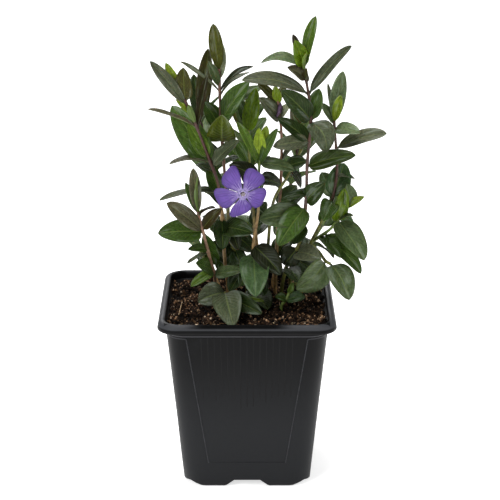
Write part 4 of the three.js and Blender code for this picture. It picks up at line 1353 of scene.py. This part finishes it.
def turnProfile(bm, profile, sides, closed=False):
    # closed joins the last point to the first
    verts = [bm.verts.new((radius, 0, height)) for radius, height in profile]
    links = list(zip(verts, verts[1:])) + ([(verts[-1], verts[0])] if closed else [])
    edges = [bm.edges.new(link) for link in links]
    bmesh.ops.spin(
        bm, geom=verts + edges, cent=(0, 0, 0), axis=(0, 0, 1), angle=fullTurn,
        steps=sides, use_merge=True, use_duplicate=False,
    )


def placeOnFlower(bm):
    bmesh.ops.remove_doubles(bm, verts=bm.verts, dist=0.001)
    facing(bm)
    bmesh.ops.transform(bm, matrix=flowerFrame(), verts=bm.verts)


def addPetal(bm, angle, length, skew, chance):
    # a flared sheet that is cut off nearly square at its end
    known = set(bm.faces)
    columns, rows = flower["columns"], flower["rows"]
    verts = bmesh.ops.create_grid(bm, x_segments=columns, y_segments=rows, size=0.5)["verts"]
    turned = Matrix.Rotation(math.radians(angle), 3, "Z")
    turned = turned @ Matrix.Rotation(math.radians(flower["tilt"]), 3, "Y")
    phase = chance.uniform(0, fullTurn)
    spots = {}
    for vert in verts:
        across = vert.co.x * 2
        along = vert.co.y + 0.5
        spots[vert] = ((across + 1) / 2, along)
        edge = length + skew * across
        edge -= flower["cornerDrop"] * abs(across) ** 5 + flower["sideDrop"] * across ** 2
        radius = lerp(flower["petalStart"], edge, along)
        reach = flower["petalNeck"] + flower["petalSpread"] * math.sin(along * math.pi / 2)
        cup = flower["petalRise"] * along - flower["petalDroop"] * across ** 2 * along
        cup += flower["ripple"] * along * math.sin(flower["ripples"] * across + phase)
        vert.co = turned @ Vector((radius, -across * reach, cup))
    thicken(bm, known, spots, "petalMap", flower["thickness"])


def addPetals(chance):
    bm = bmesh.new()
    bm.loops.layers.uv.new("petalMap")
    for angle, length, skew in flower["petals"]:
        addPetal(bm, angle, length, skew, chance)
    placeOnFlower(bm)
    finishPiece("petals", bm, ["petal"], "petal", ["corolla"])


def addTube():
    # painted shade darkens it behind its mouth
    bm = bmesh.new()
    turnProfile(bm, flower["tube"], 40, closed=True)
    for face in bm.faces:
        middle = face.calc_center_median()
        if middle.z < flower["shadeBelow"] and middle.xy.length < flower["shadeWithin"]:
            face.material_index = 1
    placeOnFlower(bm)
    finishPiece("corollaTube", bm, ["tube", "bud"], "petal", ["corolla"])


def addStar():
    # the five-sided pale star round the throat
    bm = bmesh.new()
    turnProfile(bm, flower["star"], 5, closed=True)
    bmesh.ops.subdivide_edges(bm, edges=bm.edges, cuts=2, use_grid_fill=True, smooth=0)
    turnUpright(bm, math.radians(flower["starTurn"]), bm.verts)
    placeOnFlower(bm)
    finishPiece("throatStar", bm, ["throat"], "petal", ["corolla"])


def addPistil():
    # the pistil and the anthers that lean over it
    bm = bmesh.new()
    turnProfile(bm, flower["pistil"], 20)
    for index in range(5):
        angle = math.radians(flower["starTurn"]) + fullTurn * (index + 0.5) / 5
        turned = Matrix.Translation(flower["antherCentre"]) @ Matrix.Rotation(angle, 4, "Z")
        turned = turned @ Matrix.Translation((flower["antherOut"], 0, 0))
        turned = turned @ Matrix.Rotation(math.radians(flower["antherLean"]), 4, "Y")
        turned = turned @ Matrix.Diagonal((*flower["antherSize"], 1))
        bmesh.ops.create_icosphere(bm, subdivisions=2, radius=1, matrix=turned)
    placeOnFlower(bm)
    finishPiece("pistilHead", bm, ["anther"], "pistil", ["pistil"])


def addCalyx():
    # the calyx on its stalk belongs to the stem that bears the flower
    bm = startMesh()
    turnProfile(bm, flower["calyx"], 24)
    bmesh.ops.remove_doubles(bm, verts=bm.verts, dist=0.001)
    bmesh.ops.transform(bm, matrix=flowerFrame(), verts=bm.verts)
    end = flowerFrame() @ Vector(flower["stalkEnd"])
    path = evenPath(smoothPath([*flower["stalk"], end]), flower["stalkGap"])
    sweep(bm, path, [flower["stalkGirth"]] * len(path), plant["stemSides"])
    toneAll(bm, stalkTones["green"])
    facing(bm)
    finishPiece("calyx", bm, ["stalk"], "foliage", ["stem_centre_front"])


def addSepals(chance):
    bm = startMesh("leafMap")
    out = Vector(flower["facing"]).normalized()
    for index in range(5):
        turned = flowerFrame() @ Matrix.Rotation(fullTurn * index / 5, 4, "Z")
        foot = turned @ Vector(flower["sepalFoot"])
        tip = turned @ Vector(flower["sepalTip"])
        addLeaf(bm, foot, out, (0, *tip, *flower["sepal"]), chance, flower["sepalThickness"])
    finishPiece("sepals", bm, ["leafUpper", "leafUnder"], "foliage", ["stem_centre_front"])


def addFlower():
    chance = random.Random(flower["seed"])
    addPetals(chance)
    addTube()
    addStar()
    addPistil()
    addCalyx()
    addSepals(chance)


bud = {
    "path": [(14.2, -2.6, 191.2), (15, -2.8, 194), (16.9, -2.6, 198.4)],
    "neck": 0.35, "swell": 0.85, "swellCurve": 1.3,
    # the stretch of a half wave that it swells through
    "swellSpan": (0.03, 0.97),
    "axis": (16, -2, 0), "twistStart": 187, "twist": 0.16, "ringGap": 0.5,
}


def addBud():
    # a closed bud rolled to a point, at the tip of its stem
    bm = bmesh.new()
    path = evenPath(smoothPath(bud["path"]), bud["ringGap"])
    girths = []
    for index in range(len(path)):
        wave = math.sin(math.pi * lerp(*bud["swellSpan"], index / (len(path) - 1)))
        girths.append(bud["neck"] + bud["swell"] * wave ** bud["swellCurve"])
    sweep(bm, path, girths, 12)
    axis = Vector(bud["axis"])
    for vert in bm.verts:
        turned = Matrix.Rotation((vert.co.z - bud["twistStart"]) * bud["twist"], 3, "Z")
        vert.co = turned @ (vert.co - axis) + axis
    facing(bm)
    finishPiece("bud", bm, ["bud"], "petal", ["stem_centre_bud"])


addFlower()
addBud()
print("flower made")


# Floor

def addFloor():
    bm = bmesh.new()
    bmesh.ops.create_grid(bm, x_segments=4, y_segments=4, size=studio["floorSize"])
    floor = finishPiece("floor", bm, ["floor"])


addFloor()
print("floor laid")
